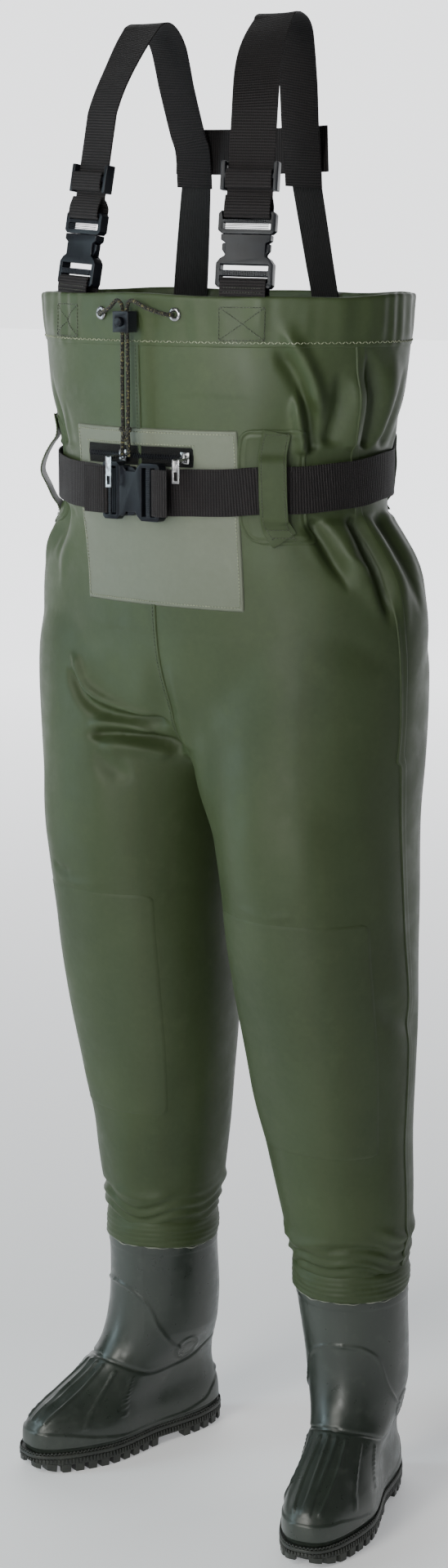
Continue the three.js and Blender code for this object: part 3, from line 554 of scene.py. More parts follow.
def rubber_look(name, dark, mid, pale, rough):
    """Injection-moulded PVC boot: satin, a little dusty low down, with swirl marks."""
    look, tree, shader = new_look(name, rough, coat=0.08, coat_rough=0.35, specular=0.5)
    where = place(tree)
    cloud = noise_of(tree, where, 11, 5)
    swirl = noise_of(tree, where, 70, 5, 0.6)
    grain = noise_of(tree, where, 1400, 2)
    height = node(tree, "SeparateXYZ", {0: where}).outputs["Z"]
    dust = maths(tree, "MULTIPLY", spread(tree, height, 0.0, 0.07, 0.5, 0),
                 spread(tree, swirl, 0.4, 0.7, 0.2, 1))
    base = blend_of(tree, spread(tree, cloud, 0.35, 0.68, 0, 1), dark, mid)
    base = blend_of(tree, spread(tree, swirl, 0.56, 0.8, 0, 0.35), base, pale)
    base = blend_of(tree, dust, base, pale)
    paint(tree, shader, base, spread(tree, swirl, 0.3, 0.75, rough - 0.08, rough + 0.14))
    bumps(tree, shader, (cloud, 0.1, 0.002), (swirl, 0.09, 0.0007), (grain, 0.07, 0.0002))
    return look


def thread_look(name, dark, pale):
    """Twisted sewing thread, matt and slightly uneven."""
    look, tree, shader = new_look(name, 0.75, sheen=0.3, specular=0.25)
    where = place(tree)
    strand = noise_of(tree, where, 1300, 2)
    cloud = noise_of(tree, where, 50, 2)
    base = blend_of(tree, spread(tree, cloud, 0.3, 0.7, 0, 1), dark, pale)
    paint(tree, shader, base, spread(tree, strand, 0.3, 0.7, 0.6, 0.85))
    bumps(tree, shader, (strand, 0.4, 0.0002))
    return look


def braid_look(name, dark, pale, around):
    """Braided cord: u goes once round, v runs along in metres; two sets of strands cross."""
    look, tree, shader = new_look(name, 0.7, sheen=0.05, specular=0.3)
    across, along = uv_parts(tree)
    turn = maths(tree, "MULTIPLY", across, 2 * math.pi * around)
    climb = maths(tree, "MULTIPLY", along, 2 * math.pi / 0.0042)
    one = maths(tree, "SINE", maths(tree, "ADD", turn, climb))
    two = maths(tree, "SINE", maths(tree, "SUBTRACT", turn, climb))
    strand = maths(tree, "MAXIMUM", one, two)
    where = place(tree)
    fleck = noise_of(tree, drawn_out(tree, place(tree, "UV"), (5, 420, 1)), 1.0, 1)
    fuzz = noise_of(tree, where, 1000, 3)
    base = blend_of(tree, spread(tree, strand, -0.2, 1, 0, 0.6), dark, (0.03, 0.028, 0.02))
    base = blend_of(tree, spread(tree, fleck, 0.57, 0.62, 0, 0.8), base, pale)
    paint(tree, shader, base, spread(tree, fuzz, 0.3, 0.7, 0.6, 0.85))
    bumps(tree, shader, (strand, 0.8, 0.0007), (fuzz, 0.2, 0.0002))
    return look


LOOKS = {
    "coated_fabric": fabric_look("coated_fabric", (0.026, 0.040, 0.014), (0.035, 0.052, 0.019),
                                 (0.070, 0.092, 0.044), 0.49),
    "coated_fabric_patch": fabric_look("coated_fabric_patch", (0.028, 0.042, 0.016),
                                       (0.038, 0.055, 0.022), (0.074, 0.095, 0.048), 0.52),
    "pocket_fabric": fabric_look("pocket_fabric", (0.098, 0.112, 0.080), (0.118, 0.130, 0.098),
                                 (0.17, 0.18, 0.14), 0.5),
    "lining": fabric_look("lining", (0.014, 0.018, 0.011), (0.020, 0.025, 0.016),
                          (0.04, 0.045, 0.03), 0.75),
    "boot_rubber": rubber_look("boot_rubber", (0.018, 0.024, 0.019), (0.029, 0.037, 0.029),
                               (0.070, 0.080, 0.066), 0.33),
    "sole_rubber": rubber_look("sole_rubber", (0.010, 0.012, 0.010), (0.016, 0.019, 0.015),
                               (0.06, 0.065, 0.052), 0.52),
    "insole_foam": fabric_look("insole_foam", (0.02, 0.02, 0.02), (0.03, 0.03, 0.03),
                               (0.06, 0.06, 0.06), 0.9),
    "webbing": webbing_look("webbing", (0.005, 0.0042, 0.0044), (0.040, 0.033, 0.034), 0.003),
    "elastic": elastic_look("elastic", (0.004, 0.0038, 0.0038), (0.020, 0.018, 0.018)),
    "buckle_plastic": plastic_look("buckle_plastic", (0.0045, 0.005, 0.007), (0.010, 0.011, 0.015)),
    "nickel": metal_look("nickel", (0.20, 0.20, 0.21), (0.42, 0.42, 0.43)),
    "zip_tape": webbing_look("zip_tape", (0.003, 0.003, 0.003), (0.014, 0.014, 0.014), 0.0012),
    "cord": braid_look("cord", (0.003, 0.003, 0.003), (0.13, 0.12, 0.05), 4),
    "thread": thread_look("thread", (0.14, 0.16, 0.10), (0.28, 0.30, 0.20)),
    "thread_dark": thread_look("thread_dark", (0.010, 0.013, 0.007), (0.040, 0.046, 0.026)),
    "glue": thread_look("glue", (0.14, 0.15, 0.12), (0.28, 0.29, 0.24)),
}


# ---------------------------------------------------------------- mesh helpers
def mesh_object(name, points, faces, look, body="waders", uvs=None, smooth=True):
    """A new object from points in millimetres. uvs holds one pair per point."""
    mesh = bpy.data.meshes.new(name)
    mesh.from_pydata(((np.asarray(points, float).reshape(-1, 3) + SHIFT) * MM).tolist(), [], faces)
    mesh.validate()
    made = bpy.data.objects.new(name, mesh)
    bpy.context.collection.objects.link(made)
    mesh.materials.append(LOOKS[look])
    if uvs is not None:
        layer = mesh.uv_layers.new(name="UVMap")
        index = np.zeros(len(mesh.loops), np.int32)
        mesh.loops.foreach_get("vertex_index", index)
        layer.data.foreach_set("uv", np.asarray(uvs, np.float32).reshape(-1, 2)[index].ravel())
    if smooth:
        mesh.shade_smooth()
    if body:
        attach(made, body)
    return made


def grid_faces(rows, columns, closed=False, wrap=False):
    """Quads of a grid; closed joins the last column to the first, wrap the last row."""
    faces = []
    for r in range(rows if wrap else rows - 1):
        for c in range(columns if closed else columns - 1):
            d, e = (c + 1) % columns, (r + 1) % rows
            faces.append((r * columns + c, r * columns + d, e * columns + d, e * columns + c))
    return faces


def capped_faces(rows, columns):
    """Faces of a closed tube of rings, with a flat face over each end."""
    last = (rows - 1) * columns
    ends = [tuple(range(columns))[::-1], tuple(range(last, last + columns))]
    return grid_faces(rows, columns, closed=True) + ends


def shifted(faces, start):
    """Faces whose points begin at start in a longer list."""
    return [tuple(start + i for i in face) for face in faces]


def add_modifier(made, kind, **settings):
    modifier = made.modifiers.new(kind.title(), kind)
    for key, value in settings.items():
        setattr(modifier, key, value)
    return modifier


def apply_all(made):
    """Makes the modifiers' result the object's own mesh."""
    done = bpy.data.meshes.new_from_object(made.evaluated_get(bpy.context.evaluated_depsgraph_get()))
    old, made.data = made.data, done
    made.modifiers.clear()
    bpy.data.meshes.remove(old)
    return made


def cloth(name, rows, closed=False, look="coated_fabric"):
    """A sheet of fabric through equal rows of points; closed joins the ends of each row."""
    return mesh_object(name, rows, grid_faces(len(rows), len(rows[0]), closed), look)


def strip(name, line, across, width, thick, look, body="waders", step=2.5, crown=0.0,
          round_edge=0.45):
    """A flat woven strap along a line, with rounded selvedges, square-cut ends and UVs in metres.
    line holds points, across the matching directions of its width."""
    both = even(np.hstack([np.array(line, float), np.array(across, float)]), step)
    p, w = both[:, :3], both[:, 3:]
    t = unit(np.gradient(p, axis=0))
    w = unit(w - t * (w * t).sum(1)[:, None])
    out = np.cross(t, w)
    half = width / 2
    deep = thick / 2
    flat = np.linspace(-1, 1, 13)
    top = [(x * (half - deep * round_edge), deep + crown * (1 - x * x)) for x in flat]
    bottom = [(x, -y + 2 * crown * (1 - (x / half) ** 2)) for x, y in reversed(top)]
    section = np.array(top + [(half, 0.35 * deep)] + bottom + [(-half, 0.35 * deep)])
    ring = p[:, None] + w[:, None] * section[None, :, :1] + out[:, None] * section[None, :, 1:]
    u = np.broadcast_to(section[None, :, 0], ring.shape[:2])
    v = np.broadcast_to(distance_along(p)[:, None], ring.shape[:2])
    faces = capped_faces(len(p), len(section))
    made = mesh_object(name, ring, faces, look, body, np.stack([u, v], -1) * MM)
    made.data.set_sharp_from_angle(angle=math.radians(50))
    return made


def tube(name, line, radius, look, sides=14, closed=False, step=1.6, radii=None):
    """A round cord along a line, with a braid UV: u once round, v in metres."""
    p = even(np.array(line, float), step)
    if closed:
        p = p[:-1]
        t = unit(np.roll(p, -1, 0) - np.roll(p, 1, 0))
    else:
        t = unit(np.gradient(p, axis=0))
    normal = unit(np.cross(t[0], (0.31, 0.52, 0.79)))
    frames = []
    for k in range(len(p)):
        normal = unit(normal - t[k] * (normal @ t[k]))
        frames.append(normal)
    n = np.array(frames)
    b = np.cross(t, n)
    turn = circle(sides)
    size = np.full(len(p), radius)
    if radii is not None:
        size = np.interp(np.linspace(0, 1, len(p)), np.linspace(0, 1, len(radii)), radii)
    spoke = n[:, None] * np.cos(turn)[None, :, None] + b[:, None] * np.sin(turn)[None, :, None]
    ring = p[:, None] + size[:, None, None] * spoke
    u = np.broadcast_to(np.minimum(turn, 2 * math.pi - turn)[None] / (2 * math.pi), ring.shape[:2])
    v = np.broadcast_to(distance_along(p)[:, None] * MM, ring.shape[:2])
    if closed:
        faces = grid_faces(len(p), sides, closed=True, wrap=True)
    else:
        faces = capped_faces(len(p), sides)
    return mesh_object(name, ring, faces, look, uvs=np.stack([u, v], -1))


# place along a stitch and thickness there, both as shares
STITCH = [(-0.5, 0.25), (-0.38, 0.9), (0.0, 1.0), (0.38, 0.9), (0.5, 0.25)]
STITCH_SIDES = 6


def stitches(name, rows, look, pitch=3.6, long=2.5, thick=0.42, slant=0.0):
    """Thread dashes along one or more lines. A row is (points, normals)."""
    points, faces = [], []
    ring = [(math.cos(a), math.sin(a)) for a in circle(STITCH_SIDES)]
    for line, normals in rows:
        both = even(np.hstack([line, normals]), pitch)
        p, n = both[:, :3], unit(both[:, 3:])
        t = unit(np.gradient(p, axis=0))
        for k in range(len(p) - 1):
            side = np.cross(n[k], t[k])
            tilt = slant if k % 2 else -slant
            way = unit(t[k] * math.cos(tilt) + side * math.sin(tilt))
            beside = np.cross(n[k], way)
            middle = (p[k] + p[k + 1]) / 2
            start = len(points)
            for f, r in STITCH:
                centre = middle + way * f * long + n[k] * thick * (0.25 + 0.5 * (1 - (2 * f) ** 2))
                for c, s in ring:
                    points.append(centre + (beside * c + n[k] * s) * thick * r)
            faces += shifted(capped_faces(len(STITCH), STITCH_SIDES), start)
    return mesh_object(name, points, faces, look)


def box_and_cross(x0, x1, z0, z1, count):
    """The four sides and the two diagonals of a rectangle, each as matching x and z values."""
    corners = [(x0, z0), (x1, z0), (x1, z1), (x0, z1)]
    for a, b in ((0, 1), (1, 2), (2, 3), (3, 0), (0, 2), (1, 3)):
        x = np.linspace(corners[a][0], corners[b][0], count)
        z = np.linspace(corners[a][1], corners[b][1], count)
        yield x, z


def from_cad(cad_node, name, look, bevel, segments=3):
    """A new piece with a CAD solid's shape, its edges rounded over."""
    made = bpy.data.objects.new(name, frame["nodes"][cad_node].data.copy())
    bpy.context.collection.objects.link(made)
    made.data.materials.clear()
    made.data.materials.append(LOOKS[look])
    shape = bmesh.new()
    shape.from_mesh(made.data)
    bmesh.ops.remove_doubles(shape, verts=shape.verts, dist=0.00002)
    bmesh.ops.dissolve_limit(shape, angle_limit=math.radians(8), verts=shape.verts, edges=shape.edges)
    shape.to_mesh(made.data)
    shape.free()
    made.data.shade_smooth()
    add_modifier(made, "BEVEL", width=bevel * MM, segments=segments, limit_method="ANGLE",
                 angle_limit=math.radians(28), harden_normals=True)
    apply_all(made)
    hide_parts(cad_node)
    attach(made, body_of(frame["nodes"][cad_node])[0])
    return made


def plastic(cad_node, name, bevel, segments=3):
    """A moulded piece, named and rounded from its CAD solid."""
    return from_cad(cad_node, name, "buckle_plastic", bevel, segments)


def read_points(mesh):
    co = np.zeros(len(mesh.vertices) * 3)
    mesh.vertices.foreach_get("co", co)
    return co.reshape(-1, 3) / MM - SHIFT


def read_normals(mesh):
    normals = np.zeros(len(mesh.vertices) * 3)
    mesh.vertices.foreach_get("normal", normals)
    return normals.reshape(-1, 3)


def write_points(mesh, points):
    mesh.vertices.foreach_set("co", ((points + SHIFT) * MM).ravel())
    mesh.update()


# ---------------------------------------------------------------- camera and light
AZIMUTH = math.radians(37.8)
CAMERA_TILT = math.radians(11.34)
CAMERA_AWAY = 3.073
CAMERA_HEIGHT = 1.468
ASIDE = Vector((math.cos(AZIMUTH), math.sin(AZIMUTH), 0))
TOWARD = Vector((math.sin(AZIMUTH), -math.cos(AZIMUTH), 0))
FLOOR_HALF = 30


def place_camera():
    """Camera at the front left of the wearer, looking slightly down."""
    lens = bpy.data.cameras.new("camera")
    lens.lens = 63.1
    lens.sensor_width = 36
    camera = bpy.data.objects.new("camera", lens)
    bpy.context.collection.objects.link(camera)
    camera.location = TOWARD * CAMERA_AWAY + Vector((0, SHIFT[1] * MM, CAMERA_HEIGHT))
    camera.rotation_euler = (math.pi / 2 - CAMERA_TILT, 0, AZIMUTH)
    bpy.context.scene.camera = camera


def lamp(name, at, size, power, colour, aim=0.85, spread_angle=180):
    """A soft lamp. at is metres aside, toward the camera and up; aim is the height it faces."""
    data = bpy.data.lights.new(name, "AREA")
    data.shape = "RECTANGLE"
    data.size, data.size_y = size
    data.energy = power
    data.color = colour
    data.spread = math.radians(spread_angle)
    made = bpy.data.objects.new(name, data)
    bpy.context.collection.objects.link(made)
    aside, toward, height = at
    made.location = ASIDE * aside + TOWARD * toward + Vector((0, 0, height))
    made.rotation_euler = (Vector((0, 0, aim)) - made.location).to_track_quat("-Z", "Y").to_euler()


def studio_lamps():
    lamp("key", (-1.9, 2.1, 2.2), (0.9, 2.2), 56, (1.0, 0.99, 0.93))
    lamp("chest_fill", (-0.5, 1.5, 1.45), (0.4, 0.4), 0.75, (0.96, 1.0, 0.98), 1.36, 34)
    lamp("leg_fill", (-0.7, 1.7, 0.55), (0.5, 0.5), 2.0, (1.0, 1.0, 0.96), 0.5, 80)
    lamp("left_edge", (-2.4, 0.1, 1.3), (0.7, 2.6), 30, (0.72, 0.92, 1.0))
    lamp("right_edge", (2.3, -1.2, 1.3), (0.4, 2.4), 8, (0.98, 1.0, 0.98))
    lamp("front_fill", (0.9, 3.4, 1.5), (2.2, 2.2), 5, (1.0, 1.0, 0.96))


def backdrop():
    """A sky that is bright behind the garment and dim in front, fixed in the room."""
    world = bpy.data.worlds.new("studio")
    world.use_nodes = True
    tree = world.node_tree
    sky = tree.nodes["Background"]
    behind = node(tree, "VectorMath", {0: place(tree, "Generated"), 1: tuple(-TOWARD)},
                  operation="DOT_PRODUCT")
    glow = node(tree, "MapRange", {"Value": behind.outputs["Value"], "From Min": 0.45, "From Max": 0.9,
                                   "To Min": 0.10, "To Max": 2.3}, interpolation_type="SMOOTHSTEP")
    tree.links.new(glow.outputs["Result"], sky.inputs["Strength"])
    sky.inputs["Color"].default_value = (0.97, 0.98, 1.0, 1)
    bpy.context.scene.world = world


def studio_floor():
    """A pale floor that glows a little behind the garment, so that it runs into the backdrop."""
    look, tree, shader = new_look("studio_floor", 0.6, specular=0.2)
    haze = noise_of(tree, place(tree), 0.8, 2)
    paint(tree, shader, blend_of(tree, haze, (0.90, 0.91, 0.92), (0.93, 0.93, 0.93)))
    shader.inputs["Emission Color"].default_value = (0.96, 0.97, 1.0, 1)
    past = node(tree, "VectorMath", {0: place(tree), 1: tuple(-TOWARD)}, operation="DOT_PRODUCT")
    glow = spread(tree, past.outputs["Value"], 0.5, 6.0, 0.25, 2.1)
    tree.links.new(glow, shader.inputs["Emission Strength"])
    corners = [(x * FLOOR_HALF, y * FLOOR_HALF, 0) for x, y in ((-1, -1), (1, -1), (1, 1), (-1, 1))]
    sheet = bpy.data.meshes.new("floor")
    sheet.from_pydata(corners, [], [(0, 1, 2, 3)])
    sheet.materials.append(look)
    floor = bpy.data.objects.new("floor", sheet)
    bpy.context.collection.objects.link(floor)
    floor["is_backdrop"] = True


# ---------------------------------------------------------------- drawcord
LOCK_X, LOCK_Y = -4, -166
CORD_X = CORD_R + 1.1
KNOT_Z = 1258
KNOT_SIZE = 3.3
EYELET_X, EYELET_Z = 50, 1384


def knot_line():
    """A closed trefoil, flattened from front to back."""
    turn = np.linspace(0, 2 * math.pi, 120)
    return np.stack([
        LOCK_X + KNOT_SIZE * (np.sin(turn) + 1.15 * np.sin(2 * turn)),
        LOCK_Y - 0.62 * KNOT_SIZE * np.sin(3 * turn),
        KNOT_Z + 1 + KNOT_SIZE * (np.cos(turn) - 1.15 * np.cos(2 * turn)),
    ], -1)


def drawcords():
    """Two ends of one braided cord: out of the eyelets, through the lock, down to a shared knot."""
    knot = tube("knot", knot_line(), CORD_R * 0.98, "cord", closed=True, sides=12, step=1.2)
    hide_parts("drawcord_knot")
    lock = plastic("cord_lock", "cord_lock_body", 0.9)
    for word, side in (("left", 1), ("right", -1)):
        angle = angle_at_x(side * EYELET_X, EYELET_Z)
        x = LOCK_X + side * CORD_X
        start = torso(angle, EYELET_Z, 6.35)[0]
        near = torso(angle, EYELET_Z, 11)[0]
        near[0] = side * (EYELET_X - 5)
        route = [start, near, (side * 26, -165, 1390), (x + side * 7, LOCK_Y - 0.5, 1398),
                 (x, LOCK_Y, 1390), (x, LOCK_Y, 1360), (x + side * 0.5, LOCK_Y, 1330),
                 (x + side * 0.5, LOCK_Y, 1295), (x, LOCK_Y, KNOT_Z + 10), (x, LOCK_Y, KNOT_Z),
                 (x + side * 0.8, LOCK_Y, KNOT_Z - 10), (x + side * 1.6, LOCK_Y, KNOT_Z - 24)]
        line = smooth_line(route, 1.6)
        cord = tube("drawcord_end_" + word, line, CORD_R, "cord")
        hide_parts("drawcord_" + word)


# ---------------------------------------------------------------- garment
def set_folds():
    """Creases of the standing garment, each given as (angle, height) points on the body."""
    # front of the chest on the wearer's left: crease under the strap and the fold beside it
    fold("body", [(-0.86, 1378), (-0.71, 1352), (-0.60, 1318), (-0.50, 1272)], 8, 9, ends=(0.3, 0.25))
    fold("body", [(-0.84, 1352), (-0.72, 1325), (-0.61, 1288)], 8, -7)
    fold("body", [(-0.70, 1312), (-0.61, 1275), (-0.53, 1238)], 8, 8, "tuck", (0.4, 0.1))
    fold("body", [(-0.44, 1330), (-0.40, 1290), (-0.40, 1245)], 10, -8, ends=(0.4, 0.1))
    # side gusset above the belt
    fold("body", [(-0.24, 1350), (-0.14, 1300), (-0.07, 1240)], 9, -12, ends=(0.3, 0.1))
    fold("body", [(-0.34, 1330), (-0.26, 1290), (-0.20, 1240)], 11, 6, ends=(0.4, 0.1))
    fold("body", [(0.02, 1352), (0.03, 1290), (0.0, 1240)], 14, 5, ends=(0.4, 0.2))
    fold("body", [(0.20, 1335), (0.14, 1285), (0.13, 1240)], 11, -5, ends=(0.5, 0.1))
    # pleats falling from the belt at the wearer's left front and side
    fold("body", [(-0.53, 1172), (-0.53, 1125), (-0.51, 1088)], 8, -9, ends=(0.1, 0.5))
    fold("body", [(-0.62, 1165), (-0.61, 1110)], 9, 2, ends=(0.4, 0.6))
    fold("body", [(-0.43, 1172), (-0.42, 1120), (-0.44, 1085)], 9, 5, ends=(0.1, 0.6))
    fold("body", [(-0.20, 1175), (-0.26, 1120), (-0.24, 1050)], 9, -11, ends=(0.1, 0.4))
    fold("body", [(-0.31, 1172), (-0.35, 1120), (-0.33, 1055)], 12, 6, ends=(0.1, 0.5))
    fold("body", [(-0.46, 1135), (-0.36, 1118), (-0.29, 1122)], 6, 3.5)
    fold("body", [(-0.06, 1175), (-0.10, 1100), (-0.08, 1040)], 13, 5, ends=(0.1, 0.5))
    fold("body", [(0.08, 1175), (0.07, 1110), (0.12, 1060)], 11, -6, ends=(0.1, 0.5))
    fold("body", [(0.22, 1175), (0.24, 1095)], 12, 4, ends=(0.1, 0.5))
    # two stacked pinch folds where the right thigh meets the front
    fold("body", [(-2.16, 1004), (-2.10, 996), (-2.05, 968), (-1.91, 952), (-1.62, 938)], 6, 6.5,
         ends=(0.15, 0.2))
    fold("body", [(-2.17, 990), (-2.12, 975), (-2.05, 952), (-1.90, 938), (-1.60, 931)], 7, -10,
         ends=(0.2, 0.1))
    fold("body", [(-2.07, 924), (-1.90, 929), (-1.70, 920)], 6, 5, ends=(0.3, 0.2))
    fold("body", [(-2.09, 912), (-1.90, 916), (-1.74, 911), (-1.60, 900)], 6, -11, ends=(0.2, 0.05))
    fold("body", [(-2.06, 900), (-1.88, 903), (-1.66, 893)], 8, 5, ends=(0.3, 0.2))
    fold(-1, [(-1.74, 905), (-1.88, 880), (-2.15, 868)], 12, -5, ends=(0.4, 0.4))
    # the left thigh stands forward of the right one
    fold(1, [(-2.42, 960), (-2.46, 890), (-2.46, 800)], 30, 13, ends=(0.4, 0.5))
    # groove between the legs, front and back
    fold("body", [(FRONT, 1030), (FRONT, 960), (FRONT, 900)], 22, -9, ends=(0.7, 0.1))
    fold("body", [(-1.50, 1010), (-1.51, 960), (-1.53, 905)], 12, 5, ends=(0.7, 0.1))
    fold("body", [(-FRONT, 1040), (-FRONT, 960), (-FRONT, 905)], 34, -20, ends=(0.7, 0.01))
    # cinched pleats round the back, and slack above and below the belt
    for k in range(19):
        angle = 0.38 + k * 0.205 + random.uniform(-0.04, 0.04)
        depth = random.uniform(4, 9) * (-1 if k % 2 else 0.7)
        down = random.uniform(60, 120)
        lean = random.uniform(-0.07, 0.07)
        fold("body", [(angle, 1172), (angle + lean, 1172 - down)], 10, depth, ends=(0.1, 0.6))
        up = random.uniform(45, 95)
        fold("body", [(angle, 1232), (angle - lean, 1232 + up)], 10, depth * 0.8, ends=(0.1, 0.6))
    for angle in (-2.62, -2.42, -2.24):
        fold("body", [(angle, 1170), (angle - 0.05, 1105)], 9, -4, ends=(0.1, 0.6))
        fold("body", [(angle, 1236), (angle + 0.03, 1290)], 9, -3.5, ends=(0.1, 0.6))
    # legs: a soft front crease, diagonal drag lines and the sag behind each knee
    for side in (1, -1):
        fold(side, [(-0.95, 880), (-0.92, 640), (-0.86, 390)], 34, 4.5, ends=(0.2, 0.2))
        fold(side, [(-2.30, 760), (-2.25, 560), (-2.2, 420)], 30, 3, ends=(0.3, 0.3))
        fold(side, [(-1.9, 742), (-1.5, 735), (-1.1, 741)], 5, 1.5)
        fold(side, [(-0.4, 640), (0.1, 600), (0.6, 590)], 16, -4)
        fold(side, [(1.0, 640), (1.6, 610), (2.3, 630)], 14, -6)
        fold(side, [(1.1, 570), (1.7, 545), (2.3, 560)], 14, -5)
        fold(side, [(-0.6, 360), (0.1, 338), (0.8, 352)], 7, 4)
        fold(side, [(-2.6, 345), (-1.9, 332), (-1.1, 344)], 6, 4)
        fold(side, [(-1.5, 324), (-0.9, 334), (-0.2, 326)], 5, -4)
        fold(side, [(1.4, 350), (2.1, 335), (2.8, 346)], 7, 4)
    fold(-1, [(-1.05, 755), (-1.25, 748), (-1.4, 752)], 5, -2.5)


ANKLE_CUT = 286


def joined_body():
    """Body and legs merged by a voxel remesh, open at the chest and at both ankles."""
    turn = circle(96)
    lumps = [[torso(turn, z)[0] for z in np.linspace(884, RIM_Z + 14, 62)]]
    for side in (1, -1):
        lumps.append([leg(side, turn[::side], z)[0] for z in np.linspace(268, 1040, 74)])
    points, faces = [], []
    for rings in lumps:
        faces += shifted(capped_faces(len(rings), len(turn)), len(points) * len(turn))
        points += rings
    made = mesh_object("wader_body", points, faces, "coated_fabric", body=None)
    shape = bmesh.new()
    shape.from_mesh(made.data)
    bmesh.ops.recalc_face_normals(shape, faces=shape.faces)
    shape.to_mesh(made.data)
    shape.free()
    add_modifier(made, "REMESH", mode="VOXEL", voxel_size=0.0052)
    add_modifier(made, "SMOOTH", factor=0.5, iterations=6)
    apply_all(made)
    shape = bmesh.new()
    shape.from_mesh(made.data)
    for height, up in ((RIM_Z, 1), (ANKLE_CUT, -1)):
        every = list(shape.verts) + list(shape.edges) + list(shape.faces)
        bmesh.ops.bisect_plane(shape, geom=every, plane_co=(0, 0, height * MM), plane_no=(0, 0, up),
                               clear_outer=True)
    shape.to_mesh(made.data)
    shape.free()
    points = read_points(made.data)
    wide = np.where(np.abs(points[:, 0]) < 170, 1, 0.25)
    crotch = bell(points[:, 2], 925, 62) * wide
    write_points(made.data, neighbours_mean(made.data, points, 0.7 * crotch, 45))
    add_modifier(made, "SUBSURF", levels=1, render_levels=1)
    apply_all(made)
    return made


def neighbours_mean(mesh, points, share, times):
    """Pulls each point towards its neighbours by share, a number per point."""
    edges = np.zeros(len(mesh.edges) * 2, np.int64)
    mesh.edges.foreach_get("vertices", edges)
    a, b = edges.reshape(-1, 2).T
    size = len(points)
    count = np.bincount(np.concatenate([a, b]), minlength=size)[:, None]
    for _ in range(times):
        total = [np.bincount(a, column[b], size) + np.bincount(b, column[a], size) for column in points.T]
        points = points + share[:, None] * (np.stack(total, -1) / count - points)
    return points


def garment():
    """The cloth itself: the joined body, with every fold and wrinkle moved into it."""
    made = joined_body()
    mesh = made.data
    points = read_points(mesh)
    # the folds' lines are first moved onto the merged body, which differs from the formulas at the crotch
    bare = Skin(made)
    FOLDS[:] = [(bare.drop(line, facing, reach=70)[0], facing, *rest) for line, facing, *rest in FOLDS]
    moved = points + read_normals(mesh) * cloth_offset(points)[:, None]
    edge = (np.abs(points[:, 2] - RIM_Z) < 0.5) | (np.abs(points[:, 2] - ANKLE_CUT) < 0.5)
    moved[edge, 2] = points[edge, 2]
    write_points(mesh, neighbours_mean(mesh, moved, np.where(edge, 0, 0.35), 2))
    mesh.shade_smooth()
    return made


class Skin:
    """The finished cloth surface, to lay other pieces on."""

    def __init__(self, made):
        mesh = made.data
        self.tree = BVHTree.FromPolygons([v.co.copy() for v in mesh.vertices],
                                         [tuple(p.vertices) for p in mesh.polygons])

    def nearest(self, point):
        """The place on the surface closest to a point."""
        return np.array(self.tree.find_nearest(Vector((point + SHIFT) * MM))[0]) / MM - SHIFT

    def drop(self, points, normals, off=0.0, reach=40):
        """Moves points along their normals onto the cloth, then off millimetres out."""
        shape = points.shape
        off = np.broadcast_to(off, shape[:-1]).ravel()
        out, facing = [], []
        for p, n, o in zip(points.reshape(-1, 3), np.broadcast_to(normals, shape).reshape(-1, 3), off):
            start = Vector((p + n * reach + SHIFT) * MM)
            hit, normal, _, _ = self.tree.ray_cast(start, Vector(-n), 2.2 * reach * MM)
            if hit is None:
                hit, normal, _, _ = self.tree.find_nearest(Vector((p + SHIFT) * MM))
            normal = np.array(normal)
            if normal @ n < 0:
                normal = -normal
            out.append(np.array(hit) / MM - SHIFT + n * o)
            facing.append(normal)
        return np.array(out).reshape(shape), np.array(facing).reshape(shape)


def border_gap(x, z, x0, x1, z0, z1, r):
    """Distance inside the edge of a rectangle with corners rounded to r."""
    cx, cz = (x0 + x1) / 2, (z0 + z1) / 2
    qx = np.abs(x - cx) - (x1 - x0) / 2 + r
    qz = np.abs(z - cz) - (z1 - z0) / 2 + r
    outside = np.hypot(np.maximum(qx, 0), np.maximum(qz, 0))
    return r - outside - np.minimum(np.maximum(qx, qz), 0)


def rounded_grid(width, height, r, across, up):
    """(x, z) points filling a rectangle with round corners, centred on nothing: x and z from 0."""
    z = np.linspace(0, height, up)
    over = np.minimum(z, height - z)
    inset = np.where(over < r, r - np.sqrt(np.maximum(r * r - (r - over) ** 2, 0)), 0)
    s = np.linspace(0, 1, across)
    x = inset[:, None] + s[None] * (width - 2 * inset[:, None])
    return x, np.broadcast_to(z[:, None], x.shape)


# height from the rim and distance off the cloth, round the hem's section
HEM_SECTION = [
    (-HEM_TALL - 1.5, 0.1), (-HEM_TALL - 0.8, 0.7), (-HEM_TALL + 1.5, 1.0), (-42, 0.8), (-36, 1.5),
    (-24, 2.1), (-12, 2.3), (-5, 2.3), (-1, 2.5), (1.6, 1.2), (2.2, -0.8), (1.2, -2.8), (-2, -4.0),
    (-12, -4.2), (-26, -3.9), (-44, -3.4), (-47, -2.0),
]


def hem_band():
    """Drawcord hem: a doubled band with a rolled top edge that waves a little."""
    turn = circle(600)
    wave_up = 2.2 + 1.4 * np.sin(3 * turn + 0.6) + 0.8 * np.sin(8 * turn + 1.7)
    rows = []
    for above, off in HEM_SECTION:
        base, out = torso(turn, RIM_Z + min(above, 0))
        ring = on_cloth(base, out, off)
        ring[:, 2] += max(0, above) + wave_up * smooth_step((above + 16) / 16)
        rows.append(ring)
    hem = cloth("chest_hem_band", rows, closed=True)
    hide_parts("chest_hem")
    add_modifier(hem, "SUBSURF", levels=1, render_levels=1)
    base, out = torso(np.linspace(0, 2 * math.pi, 700), RIM_Z - HEM_TALL + 3.5)
    stitches("hem_stitching", [(on_cloth(base, out, 1.1), out)], "thread",
             pitch=3.8, long=3.4, thick=0.5, slant=0.6)


